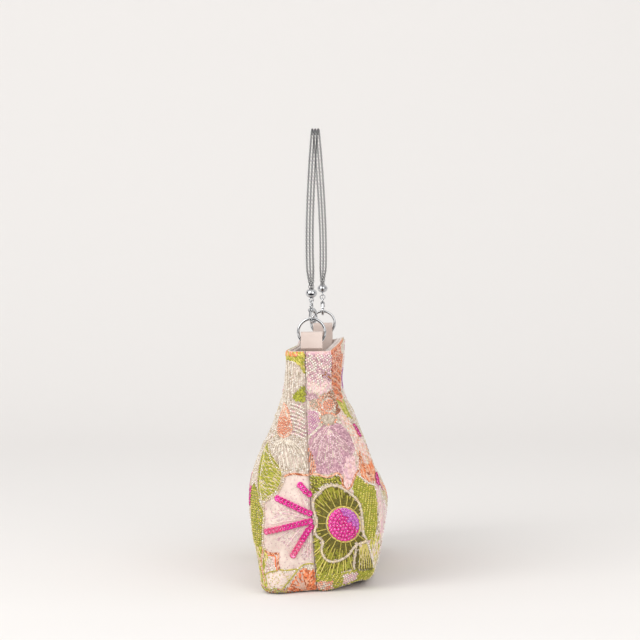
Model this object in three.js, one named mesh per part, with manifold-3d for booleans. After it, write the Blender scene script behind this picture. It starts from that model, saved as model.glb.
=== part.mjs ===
// Embroidered satin evening bag with a detachable three-strand chain handle.
// Millimetres, +Z up. The bag's length runs along X and its front faces -Y. The origin is the middle
// of the flat base. The near end is at -X and the far end at +X.

import * as THREE from 'three';
import { mergeVertices } from 'three/addons/utils/BufferGeometryUtils.js';
import Module from 'manifold-3d';

const wasm = await Module();
wasm.setup();

// Soft body: lengths and depths at the base, at the belly and at the neck
const BASE_LENGTH = 212;
const BELLY_LENGTH = 224;
const NECK_LENGTH = 220;
const BASE_DEPTH = 71;
const BELLY_DEPTH = 86;
const NECK_DEPTH = 28.6;
const BELLY_HEIGHT = 50;
const NECK_HEIGHT = 134;
const BODY_HEIGHT = 157;
const SHOULDER_FULLNESS = 1.35; // above 1 the belly carries further up before it draws in
const BASE_CORNER = 16;
const BELLY_CORNER = 24;
const NECK_CORNER = 5.5;
const LEAST_CORNER = 1.5;
const BASE_BOW = 1;
const BELLY_BOW = 3.2;
const NECK_BOW = 4.8;
const BASE_ROUND = 8;
const NECK_SHIFT = 3.3; // the neck leans this far towards the back
const NECK_SHIFT_START = 95;
const SEAM_SHIFT = 5.6; // the side seams wander this far towards the back at the rim
const RIM_RISE_MIDDLE = 0.5;
const RIM_DIP_NEAR = 1.5;
const RIM_DIP_FAR = 6.5;

// Layers of the wall and of the base
const PANEL = 1.8;
const LINING = 0.8;
const BAND = 2.4;
const BAND_HEIGHT = 32;
const BAND_SETBACK = 1; // from the panel's rim down to the band's
const BOARD = 2;
const BOARD_INSET = 1.5;
const SEAT = 0.3; // gap between pieces that touch

// Magnetic snap
const SNAP_DIAMETER = 14;
const SNAP_DROP = 16; // its centre below the rim
const SOCKET_THICKNESS = 2.4;
const STUD_THICKNESS = 1.6;
const STUD_DIAMETER = 5.4;
const STUD_HEIGHT = 1.3;
const SOCKET_BORE = 6.2;
const SOCKET_BORE_DEPTH = 1.5;
const WASHER_DIAMETER = 12;
const WASHER = 0.8;

// Rings and tabs
const RING_DIAMETER = 19;
const RING_WIRE = 1.9;
const RING_RISE = 12; // ring centre above the rim of its end
const RING_OFFSET = 1.5; // ring centre towards the back
const TAB_WIDTH = 13.8;
const TAB_LEAF = 0.7;
const TAB_TAIL = 24; // sewn in below the ring's lowest point

// Lobster clasps
const HOOK_INNER = 2.4;
const HOOK_OUTER = 3.9;
const HOOK_THICKNESS = 1.8;
const CHEEK_THICKNESS = 3;
const CLASP_EYE_HEIGHT = 7.4; // eye centre above the hook's centre
const EYE_RADIUS = 1.35;
const EYE_WIRE = 1;
const GATE_THICKNESS = 1.2;
const GATE_SLOT = 1.6;
const GATE_PIN_DIAMETER = 0.84;
const GATE_PIN_BORE = 1.14;
const GATE_ROOT = 1.9;
const PIVOT = [-1.3, 4.9]; // gate pin beside and above the hook's centre
const TIP_ANGLE = 170; // the hook ends here, counted from its right side
const THROAT = [0.7, 3.7]; // where the hook's inside turns across towards the gate
const CHEEK_FOOT = 3.9;
const CHEEK_REACH = 1; // the cheeks pass the gate's pin by this much
const CHEEK_ROUND = 0.6;
const CLASP_SWELL = [3.4, 4.4]; // pulls the clasp's back outwards between hook and eye
const EYE_NECK = 1.8; // width of the body just under the eye
const PLATE_BEVEL = 0.3;
const CHEEK_START = 2.2; // the clasp is thicker from here up
const SLOT_WIDTH = 5;
const SLOT_HEIGHT = 3.6;
const SLOT_DROP = 0.6; // the slot's middle lies this far below the pin
const SLOT_PLAY = 0.35;
const GATE_TIP = 0.4; // height of the gate's end, which closes on the hook's tip
const NUB_REACH = 2.5; // the thumb nub stands out from the pin by this much
const NUB_HEIGHT = 0.9;
const NUB_FOOT = 0.4;
const NEAR_TURN = 35; // degrees from edge-on, about the vertical
const NEAR_TILT = 12; // degrees in the clasp's own plane
const NEAR_SLIDE = 8; // degrees round the ring towards the front

// Jump rings and end caps
const JUMP_RADIUS = 1.75;
const JUMP_WIRE = 0.8;
const NEAR_JUMP_TURN = 25;
const LOOP_RADIUS = 1.3;
const LOOP_WIRE = 0.8;
const CAP_DIAMETER = 7.4;
const CAP_HEIGHT = 6.2;
const CAP_RECESS = 2;
const CAP_LIP = 0.35;
const LOOP_SINK = 0.15; // the loop's wire is sunk into the cap by this much
const WIRE_PLAY = 0.25; // slack between two linked wires
const HOOK_PLAY = 0.42; // slack between the ring's wire and the hook

// Chain strands
const STRAND = 1.5;
const STRAND_PITCH = 4;
const STRAND_WAIST = 0.8; // share of the width left between two links
const STRAND_SPACING = 1.75;
const STRAND_GATHER = 1.2; // distance from the cap's axis to each strand
const GATHER_START = 210; // the back strand's place round the cap's axis, in degrees
const GATHER_LENGTH = 22;
const CHAIN_APEX = 300;
const APEX_RADIUS = 9;
const LEG_STEPS = 7;
const LEG_EASING = 1.25; // above 1 the leg's points crowd towards its cap
const CHAIN_SAG = 3.5;
const CHAIN_BOW = 2; // each leg leans out sideways by this much
const CAP_LEAD = 5; // the chain leaves the cap straight for this length
const STRAND_NAMES = ['chain_strand_back', 'chain_strand_middle', 'chain_strand_front'];

const FRONT = -1;
const BACK = 1;
const RAD = Math.PI / 180;

const satin = { color: 0xece2da, roughness: 0.45, metalness: 0 };
const embroidered = { color: 0xd9cdb4, roughness: 0.75, metalness: 0 };
const board = { color: 0x8c8478, roughness: 0.9, metalness: 0 };
const chrome = { color: 0xd4d6d8, roughness: 0.14, metalness: 1 };
const steel = { color: 0xb8babc, roughness: 0.25, metalness: 1 };

function smooth(t) {
  const s = Math.min(Math.max(t, 0), 1);
  return s * s * (3 - 2 * s);
}

// A size of the body at height z, from its values at the base, the belly and the neck
function atHeight(z, base, belly, neck) {
  if (z < BELLY_HEIGHT) {
    return base + (belly - base) * Math.sin((Math.PI / 2) * (Math.max(z, 0) / BELLY_HEIGHT)) ** 2;
  }
  const t = Math.min((z - BELLY_HEIGHT) / (NECK_HEIGHT - BELLY_HEIGHT), 1);
  return neck + (belly - neck) * Math.cos((Math.PI / 2) * t ** SHOULDER_FULLNESS) ** 2;
}

const halfLength = (z) => atHeight(z, BASE_LENGTH, BELLY_LENGTH, NECK_LENGTH) / 2;
const halfDepth = (z) => atHeight(z, BASE_DEPTH, BELLY_DEPTH, NECK_DEPTH) / 2;
const corner = (z) => atHeight(z, BASE_CORNER, BELLY_CORNER, NECK_CORNER);
const bow = (z) => atHeight(z, BASE_BOW, BELLY_BOW, NECK_BOW);
const middle = (z) =>
  NECK_SHIFT * smooth((z - NECK_SHIFT_START) / (NECK_HEIGHT - NECK_SHIFT_START));
const seam = (z) => SEAM_SHIFT * Math.sin((Math.PI / 2) * Math.min(Math.max(z, 0) / BODY_HEIGHT, 1));

// How far the rim lies above or below its nominal height at x; lower levels follow in part
function rimAt(x) {
  const t = x / (NECK_LENGTH / 2);
  const slope = (RIM_DIP_NEAR - RIM_DIP_FAR) / 2;
  const curve = -(RIM_DIP_NEAR + RIM_DIP_FAR) / 2 - RIM_RISE_MIDDLE;
  return RIM_RISE_MIDDLE + slope * t + curve * t * t;
}
const liftAt = (x, z) => rimAt(x) * (Math.max(z, 0) / BODY_HEIGHT) ** 2;

// How far the surface at depth t inside the wall is drawn in at height z by the rounded base edge
function drawIn(z, t) {
  if (z >= BASE_ROUND) return t;
  return BASE_ROUND - Math.sqrt(Math.max((BASE_ROUND - t) ** 2 - (BASE_ROUND - z) ** 2, 0));
}

// Half of the body's plan outline at height z, from the near side seam round to the far one
const END_STEPS = 2;
const CORNER_STEPS = 4;
const LONG_STEPS = 10;
function halfPlan(side, z, inset, seamGap) {
  const a = halfLength(z) - inset;
  const b = halfDepth(z) - inset;
  const r = Math.max(corner(z) - inset, LEAST_CORNER);
  const start = seam(z) + (side * seamGap) / 2;
  const turn = middle(z) + side * (b - r);
  const straight = a - r;
  const points = [];
  for (let i = 0; i < END_STEPS; i++) points.push([-a, start + ((turn - start) * i) / END_STEPS]);
  for (let i = 0; i < CORNER_STEPS; i++) {
    const angle = ((Math.PI / 2) * i) / CORNER_STEPS;
    points.push([-straight - r * Math.cos(angle), turn + side * r * Math.sin(angle)]);
  }
  for (let i = 0; i <= LONG_STEPS; i++) {
    const x = straight * ((2 * i) / LONG_STEPS - 1);
    points.push([x, middle(z) + side * (b + bow(z) * (1 - (x / straight) ** 2))]);
  }
  for (let i = CORNER_STEPS - 1; i >= 0; i--) {
    const angle = ((Math.PI / 2) * i) / CORNER_STEPS;
    points.push([straight + r * Math.cos(angle), turn + side * r * Math.sin(angle)]);
  }
  for (let i = END_STEPS - 1; i >= 0; i--) points.push([a, start + ((turn - start) * i) / END_STEPS]);
  return points;
}

function signedVolume(position, index) {
  let six = 0;
  const [a, b, c] = [new THREE.Vector3(), new THREE.Vector3(), new THREE.Vector3()];
  for (let i = 0; i < index.length; i += 3) {
    a.fromArray(position, index[i] * 3);
    b.fromArray(position, index[i + 1] * 3);
    c.fromArray(position, index[i + 2] * 3);
    six += a.dot(b.cross(c));
  }
  return six / 6;
}

// A closed mesh from points and triangles, with its faces turned outwards
function closedMesh(position, index) {
  if (signedVolume(position, index) < 0) {
    for (let i = 0; i < index.length; i += 3) {
      [index[i + 1], index[i + 2]] = [index[i + 2], index[i + 1]];
    }
  }
  const geometry = new THREE.BufferGeometry();
  geometry.setAttribute('position', new THREE.Float32BufferAttribute(position, 3));
  geometry.setIndex(index);
  return geometry;
}

// A curved wall of cloth on one side of the bag. A row is [outer z, outer inset, inner z, inner inset].
function clothWall(side, rows) {
  const position = [];
  const across = 2 * (END_STEPS + CORNER_STEPS) + LONG_STEPS + 1;
  for (const [outerZ, outerInset, innerZ, innerInset] of rows) {
    for (const [z, inset] of [[outerZ, outerInset], [innerZ, innerInset]]) {
      for (const [x, y] of halfPlan(side, z, inset, SEAT)) position.push(x, y, z + liftAt(x, z));
    }
  }
  const at = (row, skin, i) => (row * 2 + skin) * across + i;
  const index = [];
  const quad = (a, b, c, d) => index.push(a, b, c, a, c, d);
  const last = rows.length - 1;
  for (let row = 0; row < last; row++) {
    for (let i = 0; i < across - 1; i++) {
      quad(at(row, 0, i), at(row, 0, i + 1), at(row + 1, 0, i + 1), at(row + 1, 0, i));
      quad(at(row, 1, i + 1), at(row, 1, i), at(row + 1, 1, i), at(row + 1, 1, i + 1));
    }
    quad(at(row, 1, 0), at(row, 0, 0), at(row + 1, 0, 0), at(row + 1, 1, 0));
    const end = across - 1;
    quad(at(row, 0, end), at(row, 1, end), at(row + 1, 1, end), at(row + 1, 0, end));
  }
  for (let i = 0; i < across - 1; i++) {
    quad(at(0, 0, i + 1), at(0, 0, i), at(0, 1, i), at(0, 1, i + 1));
    quad(at(last, 0, i), at(last, 0, i + 1), at(last, 1, i + 1), at(last, 1, i));
  }
  return closedMesh(position, index);
}

// The outer panel turns under at the base and runs up to the rim
const ROUND_STEPS = 3;
const WALL_LEVELS = [30, 48, 63, 77, 89, 99, 108, 116];
const BAND_TOP = BODY_HEIGHT - BAND_SETBACK;
const BAND_BOTTOM = BAND_TOP - BAND_HEIGHT;
const BAND_LEVELS = [BAND_BOTTOM, BAND_BOTTOM + BAND_HEIGHT / 4, BAND_BOTTOM + BAND_HEIGHT / 2];
function panel(side) {
  const rows = [];
  for (let i = 0; i <= ROUND_STEPS; i++) {
    const angle = ((Math.PI / 2) * i) / ROUND_STEPS;
    const [s, c] = [Math.sin(angle), Math.cos(angle)];
    const [z, inset] = [BASE_ROUND * (1 - c), BASE_ROUND * (1 - s)];
    rows.push([z, inset, z + PANEL * c, inset + PANEL * s]);
  }
  for (const z of [...WALL_LEVELS, ...BAND_LEVELS, BODY_HEIGHT]) rows.push([z, 0, z, PANEL]);
  return clothWall(side, rows);
}

// The stiffened band inside the mouth, with room behind it for the tab tails and the snap's washer
function band(side) {
  const depth = PANEL + SEAT;
  return clothWall(side, [...BAND_LEVELS, BAND_TOP].map((z) => [z, depth, z, depth + BAND]));
}

function lining(side) {
  const bottom = PANEL + BOARD + LINING + 3 * SEAT;
  const depth = PANEL + SEAT;
  const levels = [bottom, BASE_ROUND, ...WALL_LEVELS, BAND_BOTTOM - SEAT];
  const rows = levels.map((z) => {
    const inset = drawIn(z, depth);
    return [z, inset, z, inset + LINING];
  });
  return clothWall(side, rows);
}

// A flat layer across the base
function baseLayer(bottom, thickness, inset) {
  const front = halfPlan(FRONT, bottom, inset, 0);
  const back = halfPlan(BACK, bottom, inset, 0).reverse();
  const outline = [...front, ...back.slice(1, -1)].map(([x, y]) => new THREE.Vector2(x, y));
  const geometry = new THREE.ExtrudeGeometry(new THREE.Shape(outline), {
    depth: thickness,
    bevelEnabled: false,
  });
  return geometry.translate(0, 0, bottom);
}

function toSolid(geometry) {
  const plain = geometry.clone();
  plain.deleteAttribute('normal');
  plain.deleteAttribute('uv');
  const merged = mergeVertices(plain, 1e-4);
  const vertProperties = Float32Array.from(merged.attributes.position.array);
  const triVerts = Uint32Array.from(merged.index.array);
  return new wasm.Manifold(new wasm.Mesh({ numProp: 3, vertProperties, triVerts }));
}

function fromSolid(solid) {
  const mesh = solid.getMesh();
  const geometry = new THREE.BufferGeometry();
  const position = Float32Array.from(mesh.vertProperties);
  geometry.setAttribute('position', new THREE.BufferAttribute(position, 3));
  geometry.setIndex(new THREE.BufferAttribute(Uint32Array.from(mesh.triVerts), 1));
  return geometry;
}

function cut(geometry, ...tools) {
  const solid = tools.reduce((rest, tool) => rest.subtract(toSolid(tool)), toSolid(geometry));
  return fromSolid(solid);
}

function join(...geometries) {
  const [first, ...others] = geometries.map(toSolid);
  return fromSolid(others.reduce((sum, solid) => sum.add(solid), first));
}

// A disc or rod along Y, from y = from to y = to
function rodAlongY(diameter, from, to, sides) {
  const rod = new THREE.CylinderGeometry(diameter / 2, diameter / 2, to - from, sides);
  return rod.translate(0, (from + to) / 2, 0);
}

// A ring of wire whose axis is X
function wireRing(radius, wire, around, along) {
  return new THREE.TorusGeometry(radius, wire / 2, around, along).rotateY(Math.PI / 2);
}

// Snap, seen from the middle of the mouth: distances are from the neck's middle plane
const snapZ = BODY_HEIGHT - SNAP_DROP;
const bandOuter = halfDepth(snapZ) + bow(snapZ) - PANEL - SEAT;
const bandInner = bandOuter - BAND;
const snapBack = bandInner - SEAT;
const snapLift = liftAt(0, snapZ);

function snapSocket() {
  const disc = rodAlongY(SNAP_DIAMETER, snapBack - SOCKET_THICKNESS, snapBack, 24);
  const mouth = snapBack - SOCKET_THICKNESS;
  return cut(disc, rodAlongY(SOCKET_BORE, mouth - 1, mouth + SOCKET_BORE_DEPTH, 16));
}

function snapStud() {
  const face = snapBack - STUD_THICKNESS;
  const disc = rodAlongY(SNAP_DIAMETER, face, snapBack, 24);
  return join(disc, rodAlongY(STUD_DIAMETER, face - STUD_HEIGHT, face + 0.5, 16));
}

const washer = () => rodAlongY(WASHER_DIAMETER, bandOuter - WASHER, bandOuter, 20);
const washerPocket = () =>
  rodAlongY(WASHER_DIAMETER + 2 * SEAT, bandOuter - WASHER - SEAT, bandOuter + PANEL, 20);

// Places of the two ends' fittings
const ringRadius = (RING_DIAMETER - RING_WIRE) / 2;
const ringX = NECK_LENGTH / 2 - PANEL - SEAT - TAB_LEAF - SEAT - RING_WIRE / 2;
const nearRing = new THREE.Vector3(-ringX, RING_OFFSET, BODY_HEIGHT - RIM_DIP_NEAR + RING_RISE);
const farRing = new THREE.Vector3(ringX, RING_OFFSET, BODY_HEIGHT - RIM_DIP_FAR + RING_RISE);
const axisTilt = Math.atan2(nearRing.z - farRing.z, farRing.x - nearRing.x);

// The strap folded through the ring, drawn about the ring's centre with the outside at -X.
// Its fold lies at the ring's centre, so the ring's lower half hangs between the two leaves.
function tab(clearance) {
  const gap = RING_WIRE / 2 + SEAT;
  const outside = -gap - TAB_LEAF - clearance;
  const inside = gap + TAB_LEAF + clearance;
  const pocket = -RING_DIAMETER / 2 - SEAT;
  const tailInside = -gap + TAB_LEAF + clearance;
  const tail = -RING_DIAMETER / 2 - TAB_TAIL;
  const shape = new THREE.Shape();
  shape.moveTo(outside, tail);
  shape.lineTo(tailInside, tail);
  shape.lineTo(tailInside, pocket - 3 * TAB_LEAF);
  shape.lineTo(inside, pocket);
  shape.lineTo(inside, -TAB_LEAF / 2);
  shape.lineTo(inside - TAB_LEAF / 2, 0);
  shape.lineTo(outside + TAB_LEAF / 2, 0);
  shape.lineTo(outside, -TAB_LEAF / 2);
  const hole = new THREE.Path();
  hole.moveTo(-gap, pocket);
  hole.lineTo(gap, pocket + TAB_LEAF / 2);
  hole.lineTo(gap, -TAB_LEAF);
  hole.lineTo(-gap, -TAB_LEAF);
  if (clearance === 0) shape.holes.push(hole);
  const width = TAB_WIDTH + 2 * clearance;
  const geometry = new THREE.ExtrudeGeometry(shape, { depth: width, bevelEnabled: false });
  return geometry.translate(0, 0, -width / 2).rotateX(Math.PI / 2);
}

// Lobster clasp in its own plane: x across, y along from the hook to the eye, z through it
function claspOutline() {
  const tip = TIP_ANGLE * RAD;
  const cheek = PIVOT[0] - CHEEK_REACH;
  const eyeFoot = CLASP_EYE_HEIGHT - EYE_RADIUS;
  const shape = new THREE.Shape();
  shape.moveTo(HOOK_OUTER, 0);
  shape.absarc(0, 0, HOOK_OUTER, 0, tip - 2 * Math.PI, true);
  shape.lineTo(HOOK_INNER * Math.cos(tip), HOOK_INNER * Math.sin(tip));
  shape.absarc(0, 0, HOOK_INNER, tip - 2 * Math.PI, 0, false);
  shape.quadraticCurveTo(HOOK_INNER, HOOK_INNER, ...THROAT);
  shape.lineTo(cheek, CHEEK_FOOT);
  shape.quadraticCurveTo(cheek - CHEEK_ROUND, PIVOT[1], cheek, PIVOT[1] + CHEEK_REACH);
  shape.lineTo(-EYE_NECK / 2, eyeFoot);
  shape.lineTo(EYE_NECK / 2, eyeFoot);
  shape.quadraticCurveTo(...CLASP_SWELL, HOOK_OUTER, 0);
  return shape;
}

function plate(shape, thickness) {
  const geometry = new THREE.ExtrudeGeometry(shape, {
    depth: thickness - 2 * PLATE_BEVEL,
    bevelThickness: PLATE_BEVEL,
    bevelSize: PLATE_BEVEL,
    bevelOffset: -PLATE_BEVEL,
    bevelSegments: 1,
    curveSegments: 7,
  });
  return geometry.translate(0, 0, PLATE_BEVEL - thickness / 2);
}

const pinRod = (diameter, length) =>
  new THREE.CylinderGeometry(diameter / 2, diameter / 2, length, 12)
    .rotateX(Math.PI / 2)
    .translate(PIVOT[0], PIVOT[1], 0);

// The thicker cheeks are the part of the outline above the throat
function claspBody() {
  const hook = plate(claspOutline(), HOOK_THICKNESS);
  const upper = new THREE.BoxGeometry(3 * HOOK_OUTER, CLASP_EYE_HEIGHT, 2 * CHEEK_THICKNESS);
  upper.translate(0, CLASP_EYE_HEIGHT / 2 + CHEEK_START, 0);
  const cheeks = fromSolid(toSolid(plate(claspOutline(), CHEEK_THICKNESS)).intersect(toSolid(upper)));
  const eye = new THREE.TorusGeometry(EYE_RADIUS, EYE_WIRE / 2, 8, 16);
  eye.translate(0, CLASP_EYE_HEIGHT, 0);
  const slot = new THREE.BoxGeometry(SLOT_WIDTH, SLOT_HEIGHT, GATE_SLOT);
  slot.translate(PIVOT[0] + GATE_ROOT / 2 + SLOT_PLAY - SLOT_WIDTH / 2, PIVOT[1] - SLOT_DROP, 0);
  const bore = pinRod(GATE_PIN_BORE, 2 * CHEEK_THICKNESS);
  return cut(join(hook, cheeks, eye), slot, bore);
}

// The sprung gate: a root on the pin, an arm down to the hook's tip and a thumb nub outside
function gate() {
  const root = new THREE.CylinderGeometry(GATE_ROOT / 2, GATE_ROOT / 2, GATE_THICKNESS, 14)
    .rotateX(Math.PI / 2)
    .translate(PIVOT[0], PIVOT[1], 0);
  const tipY = HOOK_OUTER * Math.sin(TIP_ANGLE * RAD) + SEAT;
  const [pinX, pinY] = PIVOT;
  const arm = new THREE.Shape([
    new THREE.Vector2(pinX - GATE_ROOT / 2, pinY),
    new THREE.Vector2(-HOOK_OUTER + PLATE_BEVEL, tipY + GATE_TIP),
    new THREE.Vector2(-HOOK_OUTER + PLATE_BEVEL + GATE_TIP / 2, tipY),
    new THREE.Vector2(-HOOK_INNER - PLATE_BEVEL / 3, tipY),
    new THREE.Vector2(pinX + GATE_ROOT / 3, pinY - GATE_ROOT / 3),
  ]);
  const nub = new THREE.Shape([
    new THREE.Vector2(pinX, pinY + NUB_HEIGHT),
    new THREE.Vector2(pinX - NUB_REACH, pinY + NUB_HEIGHT),
    new THREE.Vector2(pinX - NUB_REACH, pinY + NUB_FOOT / 2),
    new THREE.Vector2(pinX, pinY - NUB_FOOT),
  ]);
  const flat = { depth: GATE_THICKNESS, bevelEnabled: false };
  const armSolid = new THREE.ExtrudeGeometry(arm, flat).translate(0, 0, -GATE_THICKNESS / 2);
  const nubSolid = new THREE.ExtrudeGeometry(nub, flat).translate(0, 0, -GATE_THICKNESS / 2);
  return cut(join(root, armSolid, nubSolid), pinRod(GATE_PIN_BORE, 2 * GATE_THICKNESS));
}

// A ball cap with a loop below it, drawn from the ball's lowest point. The strands enter its mouth.
const capMouth = STRAND_GATHER + STRAND / 2 + SEAT;
const capRimAngle = Math.acos((capMouth + CAP_LIP) / (CAP_DIAMETER / 2));
const capTop = (CAP_HEIGHT / 2) * (1 + Math.sin(capRimAngle));
function endCap(loopTurn) {
  const half = CAP_HEIGHT / 2;
  const steps = 7;
  const from = -Math.PI / 2;
  const profile = [new THREE.Vector2(0, 0)];
  for (let i = 1; i <= steps; i++) {
    const angle = from + ((capRimAngle - from) * i) / steps;
    profile.push(new THREE.Vector2((CAP_DIAMETER / 2) * Math.cos(angle), half + half * Math.sin(angle)));
  }
  profile.push(new THREE.Vector2(capMouth, capTop), new THREE.Vector2(capMouth, capTop - CAP_RECESS));
  profile.push(new THREE.Vector2(0, capTop - CAP_RECESS));
  const ball = new THREE.LatheGeometry(profile, 18).rotateX(Math.PI / 2);
  const loop = wireRing(LOOP_RADIUS, LOOP_WIRE, 6, 14).rotateZ(loopTurn);
  loop.translate(0, 0, LOOP_SINK - LOOP_RADIUS);
  return join(ball, loop);
}

// Heights of the linked wires, from the centre of a clasp's eye upwards
const jumpLowest = EYE_RADIUS - EYE_WIRE / 2 - WIRE_PLAY - JUMP_WIRE / 2;
const jumpCentre = jumpLowest + JUMP_RADIUS;
const jumpHighest = jumpLowest + 2 * JUMP_RADIUS;
const loopLowest = jumpHighest - JUMP_WIRE / 2 - WIRE_PLAY - LOOP_WIRE / 2;
const capFoot = loopLowest + 2 * LOOP_RADIUS - LOOP_SINK;

// The ring's wire rests in the hook, so the clasp is drawn from that wire's centre
const wireInHook = -HOOK_INNER + HOOK_PLAY + RING_WIRE / 2;
const eyeFromWire = CLASP_EYE_HEIGHT - wireInHook;

const bag = new THREE.Group();

function add(parent, name, geometry, finish) {
  const mesh = new THREE.Mesh(geometry, new THREE.MeshStandardMaterial(finish));
  mesh.name = name;
  parent.add(mesh);
  return mesh;
}

// Soft body
function tabPlace(geometry, end) {
  if (end > 0) geometry.rotateZ(Math.PI);
  const ring = end > 0 ? farRing : nearRing;
  return geometry.translate(ring.x, ring.y, ring.z);
}

function bandWithPockets(side) {
  const pocket = washerPocket().translate(0, 0, snapZ + snapLift);
  if (side === FRONT) pocket.scale(1, -1, 1);
  pocket.translate(0, middle(snapZ), 0);
  if (side === FRONT) pocket.index.array.reverse();
  return cut(band(side), tabPlace(tab(SEAT), -1), tabPlace(tab(SEAT), 1), pocket);
}

add(bag, 'front_panel', panel(FRONT), embroidered);
add(bag, 'back_panel', panel(BACK), embroidered);
const baseInset = BASE_ROUND + SEAT;
add(bag, 'base_panel', baseLayer(0, PANEL, baseInset), satin);
add(bag, 'base_board', baseLayer(PANEL + SEAT, BOARD, baseInset + BOARD_INSET), board);
const liningFloor = PANEL + BOARD + 2 * SEAT;
const liningInset = drawIn(liningFloor, PANEL + SEAT) + 2 * SEAT;
add(bag, 'lining_base', baseLayer(liningFloor, LINING, liningInset), satin);
add(bag, 'lining_front', lining(FRONT), satin);
add(bag, 'lining_back', lining(BACK), satin);
add(bag, 'band_front', bandWithPockets(FRONT), satin);
add(bag, 'band_back', bandWithPockets(BACK), satin);

// Snap halves and washers, on each side of the mouth
function snapHalf(side, name, geometry, finish) {
  const mesh = add(bag, name, geometry, finish);
  mesh.position.set(0, middle(snapZ), snapZ + snapLift);
  if (side === FRONT) mesh.rotation.z = Math.PI;
}
snapHalf(BACK, 'snap_socket', snapSocket(), steel);
snapHalf(FRONT, 'snap_stud', snapStud(), steel);
snapHalf(BACK, 'snap_washer_back', washer(), steel);
snapHalf(FRONT, 'snap_washer_front', washer(), steel);

// Tabs and rings
add(bag, 'tab_near', tabPlace(tab(0), -1), satin);
add(bag, 'tab_far', tabPlace(tab(0), 1), satin);
for (const [name, place] of [['ring_near', nearRing], ['ring_far', farRing]]) {
  const ring = add(bag, name, wireRing(ringRadius, RING_WIRE, 8, 28), chrome);
  ring.position.copy(place);
}

// A clasp hung on its ring: slide is its angle round the ring, turn is about the vertical,
// tilt is in its own plane. Returns the centre of its eye in the end's own frame.
function hangClasp(end, name, slide, turn, tilt) {
  const wire = new THREE.Vector3(
    0,
    -ringRadius * Math.sin(slide * RAD),
    ringRadius * Math.cos(slide * RAD),
  );
  const upright = new THREE.Group();
  upright.position.copy(wire);
  upright.rotation.z = -turn * RAD;
  const plane = new THREE.Group();
  plane.rotation.x = Math.PI / 2;
  const tilted = new THREE.Group();
  tilted.rotation.z = tilt * RAD;
  end.add(upright);
  upright.add(plane);
  plane.add(tilted);
  const pieces = [
    [`clasp_${name}`, claspBody(), chrome],
    [`gate_${name}`, gate(), chrome],
    [`gate_pin_${name}`, pinRod(GATE_PIN_DIAMETER, CHEEK_THICKNESS), steel],
  ];
  for (const [piece, geometry, finish] of pieces) {
    add(tilted, piece, geometry, finish).position.y = -wireInHook;
  }
  const across = -eyeFromWire * Math.sin(tilt * RAD);
  return wire.add(
    new THREE.Vector3(
      across * Math.cos(turn * RAD),
      -across * Math.sin(turn * RAD),
      eyeFromWire * Math.cos(tilt * RAD),
    ),
  );
}

function endFrame(ring) {
  const frame = new THREE.Group();
  frame.position.copy(ring);
  frame.rotation.y = axisTilt;
  bag.add(frame);
  return frame;
}

// Jump ring and cap above an eye. Returns the cap's mouth in the bag's frame.
function linkUp(end, name, eye, jumpTurn, loopTurn) {
  const jump = add(end, `jump_ring_${name}`, wireRing(JUMP_RADIUS, JUMP_WIRE, 6, 16), chrome);
  jump.position.copy(eye);
  jump.position.z += jumpCentre;
  jump.rotation.z = jumpTurn;
  const cap = add(end, `end_cap_${name}`, endCap(loopTurn), chrome);
  cap.position.copy(eye);
  cap.position.z += capFoot;
  bag.updateMatrixWorld(true);
  return cap.localToWorld(new THREE.Vector3(0, 0, capTop - CAP_RECESS + SEAT));
}

const nearEnd = endFrame(nearRing);
const farEnd = endFrame(farRing);
const nearEye = hangClasp(nearEnd, 'near', NEAR_SLIDE, NEAR_TURN, NEAR_TILT);
const farEye = hangClasp(farEnd, 'far', 0, 0, 0);
const nearMouth = linkUp(nearEnd, 'near', nearEye, Math.PI / 2 + NEAR_JUMP_TURN * RAD, 0);
const farMouth = linkUp(farEnd, 'far', farEye, 0, Math.PI / 2);

// The chain's middle line: up out of the near cap, over the apex and down into the far cap
function chainLine() {
  const points = [nearMouth.clone()];
  const lead = new THREE.Vector3(0, 0, CAP_LEAD);
  points.push(nearMouth.clone().add(lead));
  for (const [mouth, side] of [[nearMouth, -1], [farMouth, 1]]) {
    const span = Math.abs(mouth.x);
    const foot = mouth.z + CAP_LEAD;
    const drop = (CHAIN_APEX - foot) / (Math.sqrt(span ** 2 + APEX_RADIUS ** 2) - APEX_RADIUS);
    for (let i = 1; i < LEG_STEPS; i++) {
      const t = side < 0 ? i / LEG_STEPS : 1 - i / LEG_STEPS;
      const x = span * (1 - t ** LEG_EASING);
      const height = CHAIN_APEX - drop * (Math.sqrt(x ** 2 + APEX_RADIUS ** 2) - APEX_RADIUS);
      const sag = CHAIN_SAG * Math.sin(Math.PI * t);
      const y = mouth.y * (1 - t) + RING_OFFSET * t - side * CHAIN_BOW * Math.sin(Math.PI * t);
      points.push(new THREE.Vector3(side * x, y, height - sag));
    }
    if (side < 0) points.push(new THREE.Vector3(0, RING_OFFSET, CHAIN_APEX));
  }
  points.push(farMouth.clone().add(lead), farMouth.clone());
  return new THREE.CatmullRomCurve3(points, false, 'centripetal');
}

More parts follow.
